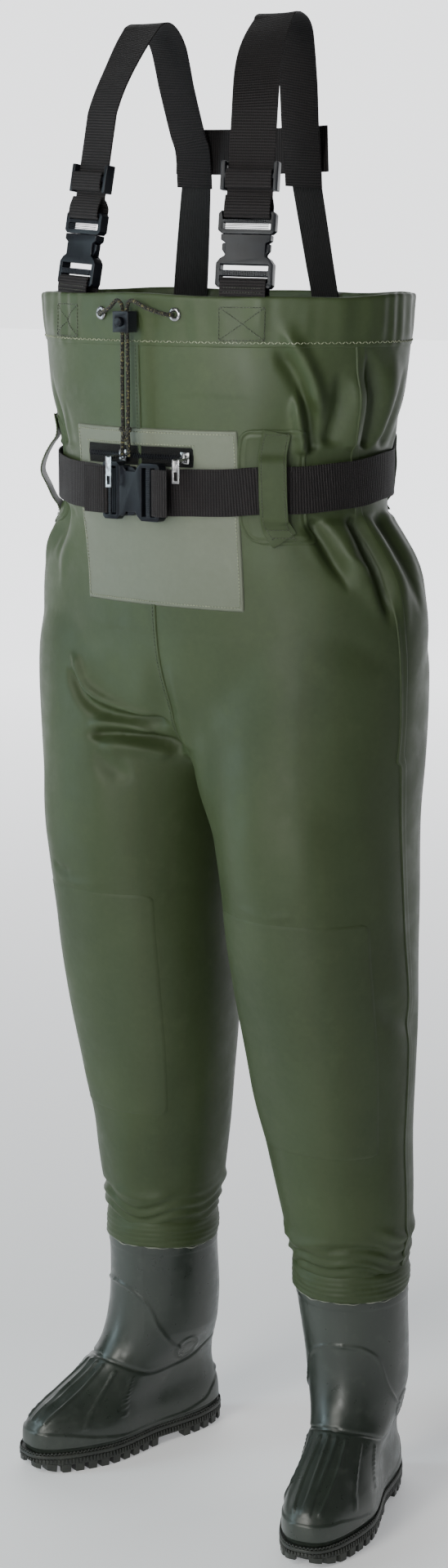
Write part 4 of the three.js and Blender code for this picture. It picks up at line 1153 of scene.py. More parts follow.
# body angle and half width, as an angle, of the stitched boxes: two front tabs, two elastics
TAB_BOXES = [(-1.0, 0.118), (-2.10, 0.112), (1.29, 0.085), (2.33, 0.1)]


def tab_boxes():
    """Box-and-cross stitching where each tab and elastic is sewn behind the hem."""
    rows = []
    for angle, reach in TAB_BOXES:
        for turn, z in box_and_cross(angle - reach, angle + reach, RIM_Z - 42, RIM_Z - 8, 16):
            base, out = torso(turn, z)
            rows.append((on_cloth(base, out, 2.2), out))
    stitches("tab_box_stitching", rows, "thread_dark", thick=0.5)


CROTCH_Z = 915
# across the seam's ridge: x and distance off the cloth
SEAM_SECTION = [(-3.2, 0.05), (-2.2, 0.7), (0.2, 0.9), (1.6, 1.5), (2.4, 1.3), (3.0, 0.05)]


def centre_seams(skin):
    """Raised seams down the middle of the front and the back, the front one stitched beside."""
    z = np.linspace(RIM_Z - HEM_TALL, CROTCH_Z, 240)

    def down(x, off, face):
        base, out = torso(face * angle_at_x(np.full(len(z), float(x)), z), z)
        return skin.drop(base, out, off)

    for word, face in (("front", 1), ("back", -1)):
        rows = [down(x, off, face)[0] for x, off in SEAM_SECTION]
        cloth(word + "_centre_seam", rows)
        if word == "front":
            stitches("front_seam_stitching", [down(-1.4, 0.7, face)], "thread_dark",
                     pitch=4.2, long=2.8)


# across the side tape: y from its middle and distance off the cloth
TAPE_SECTION = [(-5.6, 0.05), (-5.0, 1.0), (-4.4, 1.25), (-3.6, 0.85), (0, 0.8), (3.8, 0.8), (4.8, 0.7),
                (5.4, 0.05)]
LEG_BELOW = 905


def side_seams(skin):
    """Flat welded tape down each side, from the hem to the boot."""
    z = np.linspace(RIM_Z - HEM_TALL + 1, 300, 420)
    on_torso = torso(seam_angle(z), z)[0]
    on_leg = leg(1, leg_seam_angle(z), z)[0]
    for word, side in SIDES:
        base = np.where((z > LEG_BELOW)[:, None], on_torso, on_leg) * [side, 1, 1]
        out = unit(np.broadcast_to([side, -0.12, 0.0], base.shape))
        rows = [relaxed(skin.drop(base + [0, y, 0], out, off)[0], 3) for y, off in TAPE_SECTION]
        cloth(f"side_seam_{word}", rows)


KNEE_WIDE, KNEE_TALL, KNEE_ROUND = 190, 282, 10
KNEE_FOOT = 446
KNEE_ANGLE = -1.36
KNEE_RADIUS = 97


def knee_patches(skin):
    """Knee patches, welded with a narrow ridge round the edge."""
    x, z = rounded_grid(KNEE_WIDE, KNEE_TALL, KNEE_ROUND, 70, 110)
    gap = border_gap(x, z, 0, KNEE_WIDE, 0, KNEE_TALL, KNEE_ROUND)
    lift = 0.7 * smooth_step(gap / 1.2) + 0.22 * bell(gap, 2.2, 1.0) - 0.1
    for word, side in SIDES:
        base, out = leg(side, KNEE_ANGLE + (x - KNEE_WIDE / 2) / KNEE_RADIUS, KNEE_FOOT + z)
        laid, _ = skin.drop(base, out, lift)
        patch = cloth(f"knee_panel_{word}", laid, look="coated_fabric_patch")
        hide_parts(f"knee_patch_{word}")


ANKLE_X, ANKLE_Y = 141, 59.5
# height and radius of the gathered rings
CUFF = [(266.5, 66.9), (267.5, 68.2), (270, 68.7), (273, 67.8), (276, 69.8), (279, 67.7), (282, 70.0),
        (285, 67.8), (288, 69.8), (291, 67.6), (294, 69.0), (299, 66.0)]


def boot_cuffs():
    """Leg cloth gathered and glued round each boot's rim, with the glue line showing below."""
    turn = circle(180)
    for word, side in SIDES:
        rise = 1.1 * np.sin(2 * turn + side) + 0.6 * np.sin(5 * turn)
        rows = []
        for z, radius in CUFF:
            r = radius + 0.6 * np.sin(3 * turn + z / 5) + 0.35 * np.sin(7 * turn + z / 3 + side)
            x = side * (ANKLE_X + r * np.cos(turn))
            rows.append(np.stack([x, ANKLE_Y + r * np.sin(turn), z + rise], -1))
        cuff = cloth(f"boot_cuff_band_{word}", rows, closed=True)
        add_modifier(cuff, "SUBSURF", levels=1, render_levels=1)
        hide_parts(f"boot_cuff_{word}")
        line = rows[0].copy()
        line[:, 2] += 0.9 * np.sin(turn * 9 + side) + 0.6 * np.sin(turn * 23) - 0.2
        thickness = 0.55 + 0.4 * np.sin(turn * 13) * np.sin(turn * 4 + 1)
        tube(f"glue_line_{word}", np.vstack([line, line[:1]]), 0.6, "glue", closed=True,
             sides=8, step=2.0, radii=np.maximum(thickness, 0.2))


# left, right, bottom and top, measured round the front
POCKET = (-102, 114, 1070, 1264)
ZIP = (-80, 66, 1224, 1244)


def pocket_front(skin):
    """The flat sewn pocket, with a slot for its zip and a soft bulge below."""
    x0, x1, z0, z1 = POCKET
    s0, s1, t0, t1 = ZIP
    xs = np.concatenate([np.linspace(x0, s0, 12)[:-1], np.linspace(s0, s1, 74)[:-1], np.linspace(s1, x1, 24)])
    zs = np.concatenate([np.linspace(z0, t0, 78)[:-1], np.linspace(t0, t1, 11)[:-1], np.linspace(t1, z1, 11)])
    x, z = np.meshgrid(xs, zs)
    base, out = torso(angle_at_x(x, z), z)
    gap = border_gap(x, z, *POCKET, 4)
    slot = -border_gap(x, z, *ZIP, 1.5)
    sag = 1.6 * np.sin(np.clip((x - x0) / (x1 - x0), 0, 1) * math.pi) * bell(z, 1150, 46)
    lift = 1.7 * smooth_step(np.minimum(gap, slot + 0.6) / 1.6) - 0.1 + sag * smooth_step(gap / 25)
    laid, _ = skin.drop(base, out, lift)
    faces = []
    for face in grid_faces(*x.shape):
        middle_x = x.ravel()[list(face)].mean()
        middle_z = z.ravel()[list(face)].mean()
        if not (s0 < middle_x < s1 and t0 < middle_z < t1):
            faces.append(face)
    patch = mesh_object("pocket_front", laid, faces, "pocket_fabric")
    add_modifier(patch, "SOLIDIFY", thickness=0.9 * MM, offset=-1)
    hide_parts("pocket_patch")


def across_front(skin, x, z, off):
    """Places off millimetres above the cloth of the front, at matching x and z."""
    base, out = torso(angle_at_x(x, z), z)
    return skin.drop(base, out, off)[0], out


def pocket_stitching(skin):
    """One row inside the pocket's edge, and one above and below the zip."""
    x0, x1, z0, z1 = POCKET
    s0, s1, t0, t1 = ZIP
    inside = 4.5
    edges = list(box_and_cross(x0 + inside, x1 - inside, z0 + inside, z1 - inside, 80))[:4]
    for z in (t1 + 3, t0 - 3):
        edges.append((np.linspace(s0 - 3, s1 + 3, 80), np.full(80, float(z))))
    rows = [across_front(skin, x, z, 1.9) for x, z in edges]
    stitches("pocket_stitching", rows, "thread", pitch=3.8, long=2.5, thick=0.52)


# corners of a zip tooth: which side, which end, and 1 for the outer face
TOOTH = [(-1, 1, 0), (1, 1, 0), (1, -1, 0), (-1, -1, 0), (-1, 1, 1), (1, 1, 1), (1, -1, 1), (-1, -1, 1)]
TOOTH_FACES = [(4, 5, 6, 7), (0, 1, 5, 4), (1, 2, 6, 5), (2, 3, 7, 6), (3, 0, 4, 7), (3, 2, 1, 0)]


def pocket_zip(skin):
    """The zip's tape, and its coil of small teeth from the two sides in turn."""
    s0, s1, t0, t1 = ZIP
    middle = (t0 + t1) / 2
    x, z = np.meshgrid(np.linspace(s0 - 1, s1 + 1, 90), np.linspace(t0 - 1, t1 + 1, 13))
    tape, _ = across_front(skin, x, z, 0.7 + 0.5 * bell(z, middle, 3))
    made = mesh_object("zip_tape_strip", tape, grid_faces(*x.shape), "zip_tape",
                       uvs=np.stack([x, z], -1) * MM)
    add_modifier(made, "SOLIDIFY", thickness=0.6 * MM, offset=-1)
    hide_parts("zip_tape")
    count = int((s1 - s0 - 6) / 1.5)
    line, out = across_front(skin, np.linspace(s0 + 3, s1 - 3, count), np.full(count, middle), 1.6)
    up = np.array([0, 0, 1.0])
    points, faces = [], []
    for k, (p, n) in enumerate(zip(line, out)):
        way = np.cross(up, n)
        shift = 0.9 if k % 2 else -0.9
        faces += shifted(TOOTH_FACES, len(points))
        for side, end, outer in TOOTH:
            points.append(p + way * side * (0.5 - 0.12 * outer) + up * (shift + end * (1.9 - 0.3 * outer))
                          + n * (outer - 0.2))
    mesh_object("zip_coil", points, faces, "buckle_plastic", smooth=False)


# ---------------------------------------------------------------- belt
BELT_START = FRONT + 0.32
BELT_END = 1.5 * math.pi - 0.32


def belt_rise(angle):
    """Height of the belt's middle: it sits higher at the back."""
    return BELT_Z + 12 * (1 + np.sin(angle))


def put(matrix, x, y, z):
    """A point of a buckle's own frame, in the garment's frame."""
    return (matrix @ np.array([x, y, z, 1.0]))[:3]


def frame_points(path, matrix):
    """The same for (y, z) points down the middle of a buckle."""
    return [put(matrix, 0, y, z) for y, z in path]


# webbing folded round the bar of each buckle half, as (y, z)
FEMALE_TURN = [(-7.8, -44), (-7.8, -37), (-7.4, -33.6), (-5.4, -31.8), (0, -31.2), (5.4, -31.8),
               (7.4, -33.6), (7.8, -37), (7.8, -44)]
MALE_TURN = [(6.8, 44), (6.8, 37), (6.4, 33.4), (4.6, 31.6), (0, 31.2), (-4.6, 31.6), (-6.4, 33.4),
             (-6.8, 37), (-6.8, 44)]


def basis(x, y, z, at):
    """A frame's 4 by 4 matrix from its three axes and its place."""
    m = np.eye(4)
    m[:3] = np.stack([x, y, z, at], -1)
    return m


BELT_FRAME = basis((0, 0, 1), (0, 1, 0), (-1, 0, 0), (0, BUCKLE_Y, BELT_Z))


RIB_FACES = [(0, 1, 5, 4), (1, 2, 6, 5), (2, 3, 7, 6), (0, 3, 2, 1), (4, 5, 6, 7), (0, 4, 7, 3)]


def buckle(prefix, matrix):
    """A side-release buckle: the two halves, both prongs, and the gripping ribs on its bars."""
    plastic(prefix + "_female", prefix + "_socket", 1.1, 4)
    plastic(prefix + "_male", prefix + "_plug", 0.9, 4)
    for word in ("a", "b"):
        plastic(f"{prefix}_prong_{word}", f"{prefix}_spring_{word}", 0.9, 4)
    ribs = []
    for x in np.arange(-23.4, 23.5, 1.95):
        ribs.append((x, -5.9, -7.0, -28.6, -23.5, 0.55))
        ribs.append((x, -4.9, -5.9, 26.5, 29.2, 0.55))
    for z in (20.2, 22.0, 23.8):
        ribs.append((0, -4.9, -4.2, z, z + 0.8, 24.0))
    points, faces = [], []
    for x, foot_y, top_y, z0, z1, half in ribs:
        faces += shifted(RIB_FACES, len(points))
        for z in (z0, z1):
            for dx, y in ((-half, foot_y), (-half * 0.6, top_y), (half * 0.6, top_y), (half, foot_y)):
                points.append(put(matrix, x + dx, y, z))
    mesh_object(prefix + "_grip_ribs", points, faces, "buckle_plastic", smooth=False)


def waist_belt():
    """The belt's webbing, round the waist and folded back round both halves of its buckle."""
    angle = np.linspace(BELT_START, BELT_END, 120)
    a, b, _ = row_at(TORSO, BELT_MIDDLE)
    off = BELT_OFF + WEB / 2
    run = np.stack([(a + off) * np.cos(angle), (b + off) * np.sin(angle), belt_rise(angle)], -1)
    sway = 0.8 * np.sin(angle * 7 + 1) + 0.5 * np.sin(angle * 13)
    run[:, 2] += sway * smooth_step(np.minimum(angle - BELT_START, BELT_END - angle) / 0.4)
    start = frame_points([(-6.2, -52), *FEMALE_TURN], BELT_FRAME)
    end = frame_points([*MALE_TURN, (-4.6, 56), (-3.4, 64)], BELT_FRAME)
    line = smooth_line(np.vstack([start, run, end]), 2.0)
    across = np.broadcast_to([0, 0, 1.0], line.shape)
    belt = strip("belt_strap", line, across, WEB_WIDE, WEB, "webbing")
    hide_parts("belt_webbing")
    buckle("belt_buckle", BELT_FRAME)


# body angle of each loop, and how far its middle bows away from the belt
LOOPS = {"front_left": (-0.76, 0.0), "side_right": (-2.70, 15.0), "back_left": (0.80, 3.0),
         "back_right": (2.34, 3.0)}
LOOP_WIDE = 30
LOOP_PATH = [(3.0, 1148), (3.4, 1156), (7.0, 1163), (10.8, 1170), (11.6, 1184), (11.8, 1200),
             (11.6, 1216), (10.8, 1230), (6.5, 1238), (3.2, 1248), (2.6, 1262)]
PAD_WIDE, PAD_TALL, PAD_ROUND = 74, 122, 12


def loop_pad(skin, word, angle, rise):
    """A welded pad with rounded corners and two pressed lines round its edge."""
    x, z = rounded_grid(PAD_WIDE, PAD_TALL, PAD_ROUND, 40, 60)
    gap = border_gap(x, z, 0, PAD_WIDE, 0, PAD_TALL, PAD_ROUND)
    radius = math.hypot(WAIST_X * math.sin(angle), WAIST_Y * math.cos(angle))
    turn = angle + (x - PAD_WIDE / 2) / radius
    base, out = torso(turn, BELT_MIDDLE + 4 + rise - PAD_TALL / 2 + z)
    lift = (1.3 * smooth_step(gap) + 1.1 * bell(gap, 1.8, 1.1) - 0.9 * bell(gap, 5.0, 1.4)
            + 0.8 * bell(gap, 8.0, 1.3) - 0.1)
    laid, _ = skin.drop(base, out, lift)
    cloth(f"loop_pad_{word}", laid)


def belt_loops(skin):
    """Each loop is a folded strip sewn at both ends onto its pad."""
    threads = []
    for word, (angle, slack) in LOOPS.items():
        rise = float(belt_rise(angle)) - BELT_MIDDLE
        loop_pad(skin, word, angle, rise)
        line = []
        for off, z in LOOP_PATH:
            base, out = torso(angle, z + rise, off + slack * bell(z, 1203, 24))
            if off < 4:
                base, _ = skin.drop(torso(angle, z + rise)[0], out, off)
            line.append(base)
        line = smooth_line(line, 1.5)
        side = unit([-math.sin(angle) * WAIST_X, math.cos(angle) * WAIST_Y, 0])
        across = np.broadcast_to(side, line.shape)
        loop = strip(f"loop_{word}", line, across, LOOP_WIDE, 1.6, "coated_fabric")
        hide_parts("belt_loop_" + word)
        n = np.cross(unit(np.gradient(line, axis=0)), across)
        n = n * np.sign((n @ torso(angle, BELT_MIDDLE)[1])[:, None])
        for edge in (-1, 1):
            threads.append((line + side * edge * (LOOP_WIDE / 2 - 3) + n * 0.8, n))
        for at in (2, 9, len(line) - 3):
            row = line[at] + side * np.linspace(-12, 12, 12)[:, None] + n[at] * 0.9
            threads.append((row, np.broadcast_to(n[at], row.shape)))
    stitches("loop_stitching", threads, "thread_dark", pitch=3.4, long=2.3, thick=0.4)


# ---------------------------------------------------------------- zip sliders and eyelets
# radius and height of the eyelet's rolled section
EYELET_SECTION = [(2.9, 0.2), (3.0, 1.0), (3.5, 1.75), (4.4, 2.15), (5.6, 2.0), (6.8, 1.35), (7.4, 0.7),
                  (7.4, 0.2)]


def small_metal():
    """Zip sliders with their pulls, and the two drawcord eyelets."""
    for word in ("right", "left"):
        from_cad("zip_slider_" + word, "slider_" + word, "nickel", 0.5)
        from_cad("zip_pull_" + word, "pull_" + word, "nickel", 0.42)
    turn = circle(48)
    for word, side in SIDES:
        centre, out = torso(angle_at_x(side * EYELET_X, EYELET_Z), EYELET_Z, 3.0)
        way = unit(np.cross([0, 0, 1.0], out))
        spoke = np.cos(turn)[:, None] * way + np.sin(turn)[:, None] * np.cross(out, way)
        rows = [centre + out * (height + 0.2) + radius * spoke for radius, height in EYELET_SECTION]
        faces = grid_faces(len(rows), len(turn), closed=True, wrap=True)
        ring = mesh_object("eyelet_ring_" + word, rows, faces, "nickel")
        add_modifier(ring, "SUBSURF", levels=1, render_levels=1)
        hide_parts("eyelet_" + word)


# ---------------------------------------------------------------- shoulder straps
STRAPS = {
    "left": {
        "foot": (119, -115, 1452), "lean": (-2, 12, 100), "face": 0.36,
        "top": [(100, -70, 1650), (90, -34, 1688), (80, 0, 1695), (68, 34, 1680), (57, 58, 1632),
                (47, 76, 1580)],
        "yoke": (44, 84, 1557), "end": (42, 90, 1518), "hem": (34, 134),
    },
    "right": {
        "foot": (-104, -115, 1452), "lean": (8, 14, 100), "face": -0.2,
        "top": [(-86, -68, 1648), (-92, -32, 1684), (-98, 0, 1692), (-106, 34, 1672), (-112, 58, 1626),
                (-112, 76, 1580)],
        "yoke": (-110, 84, 1557), "end": (-112, 90, 1518), "hem": (-127, 108),
    },
}
TRIGLIDE_Z = 74
INSIDE = 6.5
FABRIC = 2.0


X_WAY = np.array([1.0, 0, 0])


def strap_frame(plan):
    """A front strap's own frame at its buckle: across, inwards and up the strap."""
    along = unit(plan["lean"])
    flat = np.array([math.cos(plan["face"]), math.sin(plan["face"]), 0])
    across = unit(flat - along * (flat @ along))
    return basis(across, np.cross(along, across), along, plan["foot"])


def webbing(name, both, step, cad_node, crown=0.0):
    """Black webbing, from rows that each hold a point and the direction across there."""
    made = strip(name, both[:, :3], both[:, 3:], WEB_WIDE, WEB, "webbing", step=step, crown=crown)
    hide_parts(cad_node)


def anchor_tab(word, place_at):
    """Sewn inside the hem and folded round the buckle's lower bar."""
    across, along, foot = place_at[:3, 0], place_at[:3, 2], place_at[:3, 3]
    line, ways = [], []
    for z in (1352, 1384):
        here = foot + along * (z - foot[2]) / along[2]
        a, b, _ = row_at(TORSO, z)
        angle = math.atan2(here[1] / b, here[0] / a)
        line.append(torso(angle, z, -FABRIC - INSIDE)[0])
        ways.append(unit(torso(angle + 0.1, z)[0] - torso(angle - 0.1, z)[0]))
    turned = frame_points([*reversed(FEMALE_TURN), (-6.6, -50)], place_at)
    both = smooth_line(np.hstack([line + turned, ways + [across] * len(turned)]), 1.5)
    webbing("anchor_webbing_" + word, both, 1.5, "anchor_tab_" + word)


def front_strap(word, plan, place_at):
    """From the buckle's upper bar, up and over the shoulder to the yoke."""
    lower = frame_points([(-3.9, 54), *reversed(MALE_TURN), (2.4, 51), (0, 56), (0, 100), (0, 146),
                          (0, 158)], place_at)
    over = [*plan["top"], plan["yoke"], plan["end"]]
    ways = [place_at[:3, 0]] * (len(lower) + 1) + [X_WAY] * (len(over) - 1)
    both = smooth_line(np.hstack([np.vstack([lower, over]), ways]), 2.0)
    # the bend in front of the shoulder is eased, above where the tri-glide runs
    bend = smooth_step((both[:, 2] - 1594) / 12) * (both[:, 1] < -25)
    webbing("shoulder_strap_" + word, relaxed(both, 260, bend), 2.0, "front_strap_" + word, crown=0.15)


LOOSE_END = [(-2.8, -13), (-2.8, 3.2), (-3.6, 5.2), (-5.8, 6.2), (-8, 5.2), (-8.8, 3.2), (-8.8, -8),
             (-7, -13)]


def triglide(word, place_at):
    """The tri-glide, with the strap's loose end folded through it."""
    plastic("triglide_" + word, "slide_frame_" + word, 1.1, 4)
    across, inner, along = place_at[:3, 0], place_at[:3, 1], place_at[:3, 2]
    slide = basis(across, inner, along, put(place_at, 0, 0, TRIGLIDE_Z))
    line = smooth_line(frame_points(LOOSE_END, slide), 1.2)
    loose = strip("loose_end_" + word, line, np.broadcast_to(across, line.shape), WEB_WIDE, 1.6,
                  "webbing", body=f"triglide_{word}", step=1.2)
    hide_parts("strap_fold_" + word)


def elastic(word, plan):
    """Down the back, from below the yoke to the inside of the hem, sewn across at both ends."""
    hx, hy = plan["hem"]
    angle = math.atan2(hy / RIM_Y, hx / RIM_X)
    in_hem = [torso(angle, z, -FABRIC - INSIDE)[0] for z in (1396, 1382, 1362)]
    hem_way = unit(torso(angle - 0.1, RIM_Z)[0] - torso(angle + 0.1, RIM_Z)[0])
    start = np.array(plan["end"], float) + [0, 3.6, 10]
    quarters = (0, 0.25, 0.5, 0.75, 1)
    line = [start + (in_hem[0] - start) * k for k in quarters] + in_hem[1:]
    ways = [X_WAY * (1 - k) + hem_way * k for k in quarters] + [hem_way] * 2
    both = smooth_line(np.hstack([line, ways]), 2.0)
    band = strip("elastic_band_" + word, both[:, :3], both[:, 3:], ELASTIC_WIDE, WEB, "elastic")
    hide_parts("elastic_strap_" + word)

    reach = np.linspace(-17, 17, 12)[:, None]
    down = unit(in_hem[0] - start)
    out = unit(np.cross(down, hem_way))
    out = out * np.sign(out[1])
    rows = []
    for lower in (4, 9):
        row = start + down * lower + X_WAY * reach + out * 1.1
        rows.append((row, np.broadcast_to(out, row.shape)))
        rows.append((row - out * 2.2, np.broadcast_to(-out, row.shape)))
    for z in (1386, 1378):
        base, facing = torso(angle, z, -FABRIC - INSIDE)
        for face in (1, -1):
            row = base + hem_way * reach + facing * face * 1.2
            rows.append((row, np.broadcast_to(facing * face, row.shape)))
    stitches("elastic_stitching_" + word, rows, "thread", pitch=3.2, long=2.2, thick=0.4)


def strap_stitching(word, place_at):
    """Bars of stitches above the buckle's male half, and on the tab below it."""
    outwards = -place_at[:3, 1]
    rows = []
    for y, z in ((-5.6, 41.5), (-5.6, 46), (-5.6, 50.5), (-8.9, -41.5), (-8.9, -46)):
        row = np.array([put(place_at, x, y, z) for x in np.linspace(-21, 21, 16)])
        rows.append((row, np.broadcast_to(outwards, row.shape)))
    stitches("strap_stitching_" + word, rows, "thread_dark", pitch=3.0, long=2.1, thick=0.35)


YOKE_PATH = [(-139, 92, 1559), (-110, 91.4, 1558), (-33, 93, 1557), (44, 91.4, 1558), (73, 92, 1559)]


def back_yoke():
    """The band that joins both straps across the back, sewn with a box and cross at each."""
    path = smooth_line(YOKE_PATH, 2.0)
    both = np.hstack([path, np.broadcast_to([0, 0, 1.0], path.shape)])
    webbing("yoke_band", both, 2.5, "back_yoke", crown=0.2)
    rows = []
    for middle in (44, -110):
        for x, z in box_and_cross(middle - 20, middle + 20, 1539, 1577, 13):
            for y, out in ((93.0, 1), (90.0, -1)):
                row = np.stack([x, np.full(len(x), y), z], -1)
                rows.append((row, np.broadcast_to([0.0, out, 0], row.shape)))
    stitches("yoke_stitching", rows, "thread_dark", pitch=3.2, long=2.2, thick=0.35)


def shoulders():
    for word, plan in STRAPS.items():
        place_at = strap_frame(plan)
        buckle("shoulder_buckle_" + word, place_at)
        anchor_tab(word, place_at)
        front_strap(word, plan, place_at)
        triglide(word, place_at)
        elastic(word, plan)
        strap_stitching(word, place_at)
    back_yoke()


# ---------------------------------------------------------------- boots
def foot_place(side, lateral, forward, z):
    s, c = math.sin(TOE_OUT), math.cos(TOE_OUT)
    x = HEEL_X + forward * s + lateral * c
    y = HEEL_Y - forward * c + lateral * s
    return np.stack(np.broadcast_arrays(side * x, y, z), -1)


def foot_ring(side, z, heel, toe, round_, scale, shaft, lean, inset, turn):
    """A slice of the boot. turn 0 is the heel, a quarter turn the outer side, half a turn the toe."""
    q = (1 - np.cos(turn)) / 2
    swell = np.sin(turn)
    width = row_at(FOOT_WIDTH, q)[0] * scale - inset
    foot = width * np.sign(swell) * np.abs(swell) ** 0.72
    lateral = (1 - round_) * foot + round_ * (shaft - inset) * swell - lean
    return foot_place(side, lateral, heel + inset + (toe - heel - 2 * inset) * q, z)


def boot_ring(side, z, turn, inset=0.0):
    return foot_ring(side, z, *[float(v) for v in row_at(BOOT, float(z))], inset, turn)


# moulded lines: (lateral, forward, z) points, width and height; each is on both sides of the foot
BOOT_LINES = [
    ([(0, 156, 213), (24, 148, 209), (43, 136, 192), (49, 124, 160), (50, 106, 136), (49, 92, 127)],
     1.5, 1.3),
    ([(0, 178, 121), (22, 172, 117), (40, 145, 104), (44, 118, 98), (44, 70, 102), (38, 41, 117),
      (16, 14, 124), (0, 11, 125)], 1.9, -1.5),
    ([(5, 184, 114), (5, 210, 96), (4, 240, 78), (3, 272, 58)], 1.4, 1.5),
    ([(15, 182, 111), (17, 210, 92), (17, 240, 74), (15, 268, 58)], 1.4, 1.5),
    ([(29, 174, 106), (34, 198, 84), (38, 216, 66), (41, 226, 50)], 1.4, 1.3),
    ([(40, 156, 99), (44, 166, 78), (46, 172, 56)], 1.4, 1.2),
]
SHELL = 3.5
SHELL_INSIDE = [270, 240, 200, 160, 125, 100, 80, 60, 45, 34, 28.2]


def rand_height(forward):
    """Top of the thick moulded rand round the foot: high at toe and heel, low at the arch."""
    return np.interp(forward, [0, 14, 40, 80, 120, 170, 215, 250, 286], [62, 58, 40, 33, 31, 33, 40, 48, 51])


def forward_of(points, side):
    """How far each point lies in front of the heel, along the foot."""
    from_heel = points * [side, 1, 1] - [HEEL_X, HEEL_Y, 0]
    return from_heel[..., 0] * math.sin(TOE_OUT) - from_heel[..., 1] * math.cos(TOE_OUT)


def distance_to(line, points):
    """Distance of each point from a polyline."""
    far = np.full(len(points), 1e9)
    for a, b in zip(line, line[1:]):
        way = b - a
        t = np.clip((points - a) @ way / max(way @ way, 1e-6), 0, 1)
        far = np.minimum(far, np.linalg.norm(points - a - t[:, None] * way, axis=1))
    return far


def boot_relief(form, points, side):
    """How far the moulded lines, badge, rand, beads and parting line stand out of the boot."""
    forward = forward_of(points, side)
    z = points[:, 2]
    lift = np.zeros(len(points))
    for route, width, height in BOOT_LINES:
        for hand in (1, -1):
            typed = smooth_line([(hand * l, f, h) for l, f, h in route], 4)
            line = np.array([form.nearest(foot_place(side, *spot)) for spot in typed])
            lift += 1.5 * height * bell(distance_to(line, points), 0, width)
    # a plain round badge over each ankle bone
    for hand in (1, -1):
        far = np.linalg.norm(points - form.nearest(foot_place(side, hand * 50, 80, 122)), axis=1)
        lift += 1.6 * bell(far, 16, 1.7) + smooth_step((15 - far) / 3) - 0.8 * bell(far, 10, 1.2)
    lift += 1.5 * smooth_step((rand_height(forward) - z) / 1.6)
    lift += 0.8 * bell(z, 31.5, 1.0) - 0.8 * bell(z, 28.5, 1.0)
    # kick-off spur on the heel, then the beads below the rim
    lift += 3.2 * bell(z, 66, 4.5) * smooth_step((16 - forward) / 8)
    lift += 1.6 * bell(z, 277.5, 2.0) + 0.7 * bell(z, 258, 1.2) + 0.7 * bell(z, 262, 1.2)
    lift += 0.7 * waves(points, 55, 1.3, 5 + side) * smooth_step((z - 70) / 40)
    # vertical parting line down the heel and the shin
    turned = np.mod(np.arctan2(points[:, 0] * side - ANKLE_X, points[:, 1] - ANKLE_Y), math.pi)
    return lift + 0.5 * bell(turned, math.pi / 2 - 1.3, 0.012) * (z > 150)


def boot(word, side):
    """The moulded upper, open at the top, with its inner wall down to the foot bed."""
    turn = circle(192)
    heights = np.concatenate([np.linspace(24, 60, 26), np.linspace(61.2, 150, 75),
                              np.linspace(152, BOOT_TOP, 60)])
    rows = np.array([boot_ring(side, z, turn) for z in heights])
    plain = mesh_object(f"boot_form_{word}", rows, grid_faces(len(rows), len(turn), closed=True),
                        "boot_rubber", body=None)
    form = Skin(plain)
    normals = read_normals(plain.data)
    bpy.data.objects.remove(plain)
    points = rows.reshape(-1, 3)
    if ((points - [side * 150, 40, 0.0]) * normals)[:, :2].sum() < 0:
        normals = -normals
    outer = (points + normals * boot_relief(form, points, side)[:, None]).reshape(rows.shape)
    rim = [boot_ring(side, BOOT_TOP, turn, inset) + [0, 0, up]
           for inset, up in ((0.2, 1.0), (1.2, 1.6), (2.6, 1.3), (SHELL, 0.2))]
    inner = [boot_ring(side, z, turn, SHELL) for z in SHELL_INSIDE]
    full = np.concatenate([outer, rim, inner])
    made = mesh_object(f"boot_{word}", full, capped_faces(len(full), len(turn)), "boot_rubber")
    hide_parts("boot_upper_" + word)


def foot_bed(word, side):
    """A soft insole that fills the boot's lowest outline, inside its wall."""
    turn = circle(192)[::2]
    rows = [foot_ring(side, z, *BOOT[0][1:], inset, turn)
            for z, inset in ((28.0, 5.4), (28.2, 4.7), (30.2, 4.5), (31.0, 5.2), (31.2, 7.5))]
    made = mesh_object(f"foot_bed_{word}", rows, capped_faces(len(rows), len(turn)), "insole_foam")
    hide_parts("insole_" + word)


def spring(points, side):
    """Lifts the front of the sole."""
    rise = np.clip(forward_of(points, side) - 252, 0, 60) ** 1.3 * 0.085
    share = np.clip(1 - points[..., 2] / (SOLE_TOP - 3), 0, 1)
    return points + np.stack([0 * rise, 0 * rise, rise * share], -1)


SOLE_SCALE = 1.05


def sole_ring(side, z, inset, turn):
    """The sole's outline at a height."""
    return foot_ring(side, z, 0, FOOT_LENGTH, 0, SOLE_SCALE, 50, 0, inset, turn)


# height and inset up the edge of the sole
SOLE_EDGE = [(TREAD - 1, 3.0), (TREAD, 1.2), (11, 0.6), (14, 0.7), (16.4, 1.6), (17.6, 1.5), (18.4, -0.3),
             (20.6, -0.9), (22.8, -0.5), (SOLE_TOP, 0.8), (SOLE_TOP, 5)]


def tread_block(side, corners, low_z, taper):
    """Points of a tapered block, from a ring of (lateral, forward) corners down to low_z."""
    ring = np.array(corners, float)
    middle = ring.mean(0)
    points = []
    for z, grow in ((TREAD + 1, 1.0), (low_z + 0.8, taper + 0.04), (low_z, taper)):
        at = middle + (ring - middle) * grow
        points.extend(spring(foot_place(side, at[:, 0], at[:, 1], z), side))
    return points


def half_width(forward):
    """Half the sole's width a given distance in front of the heel."""
    q = np.clip(forward / FOOT_LENGTH, 0.001, 0.999)
    swell = math.sin(math.acos(1 - 2 * q))
    return float(row_at(FOOT_WIDTH, q)[0]) * SOLE_SCALE * swell ** 0.72


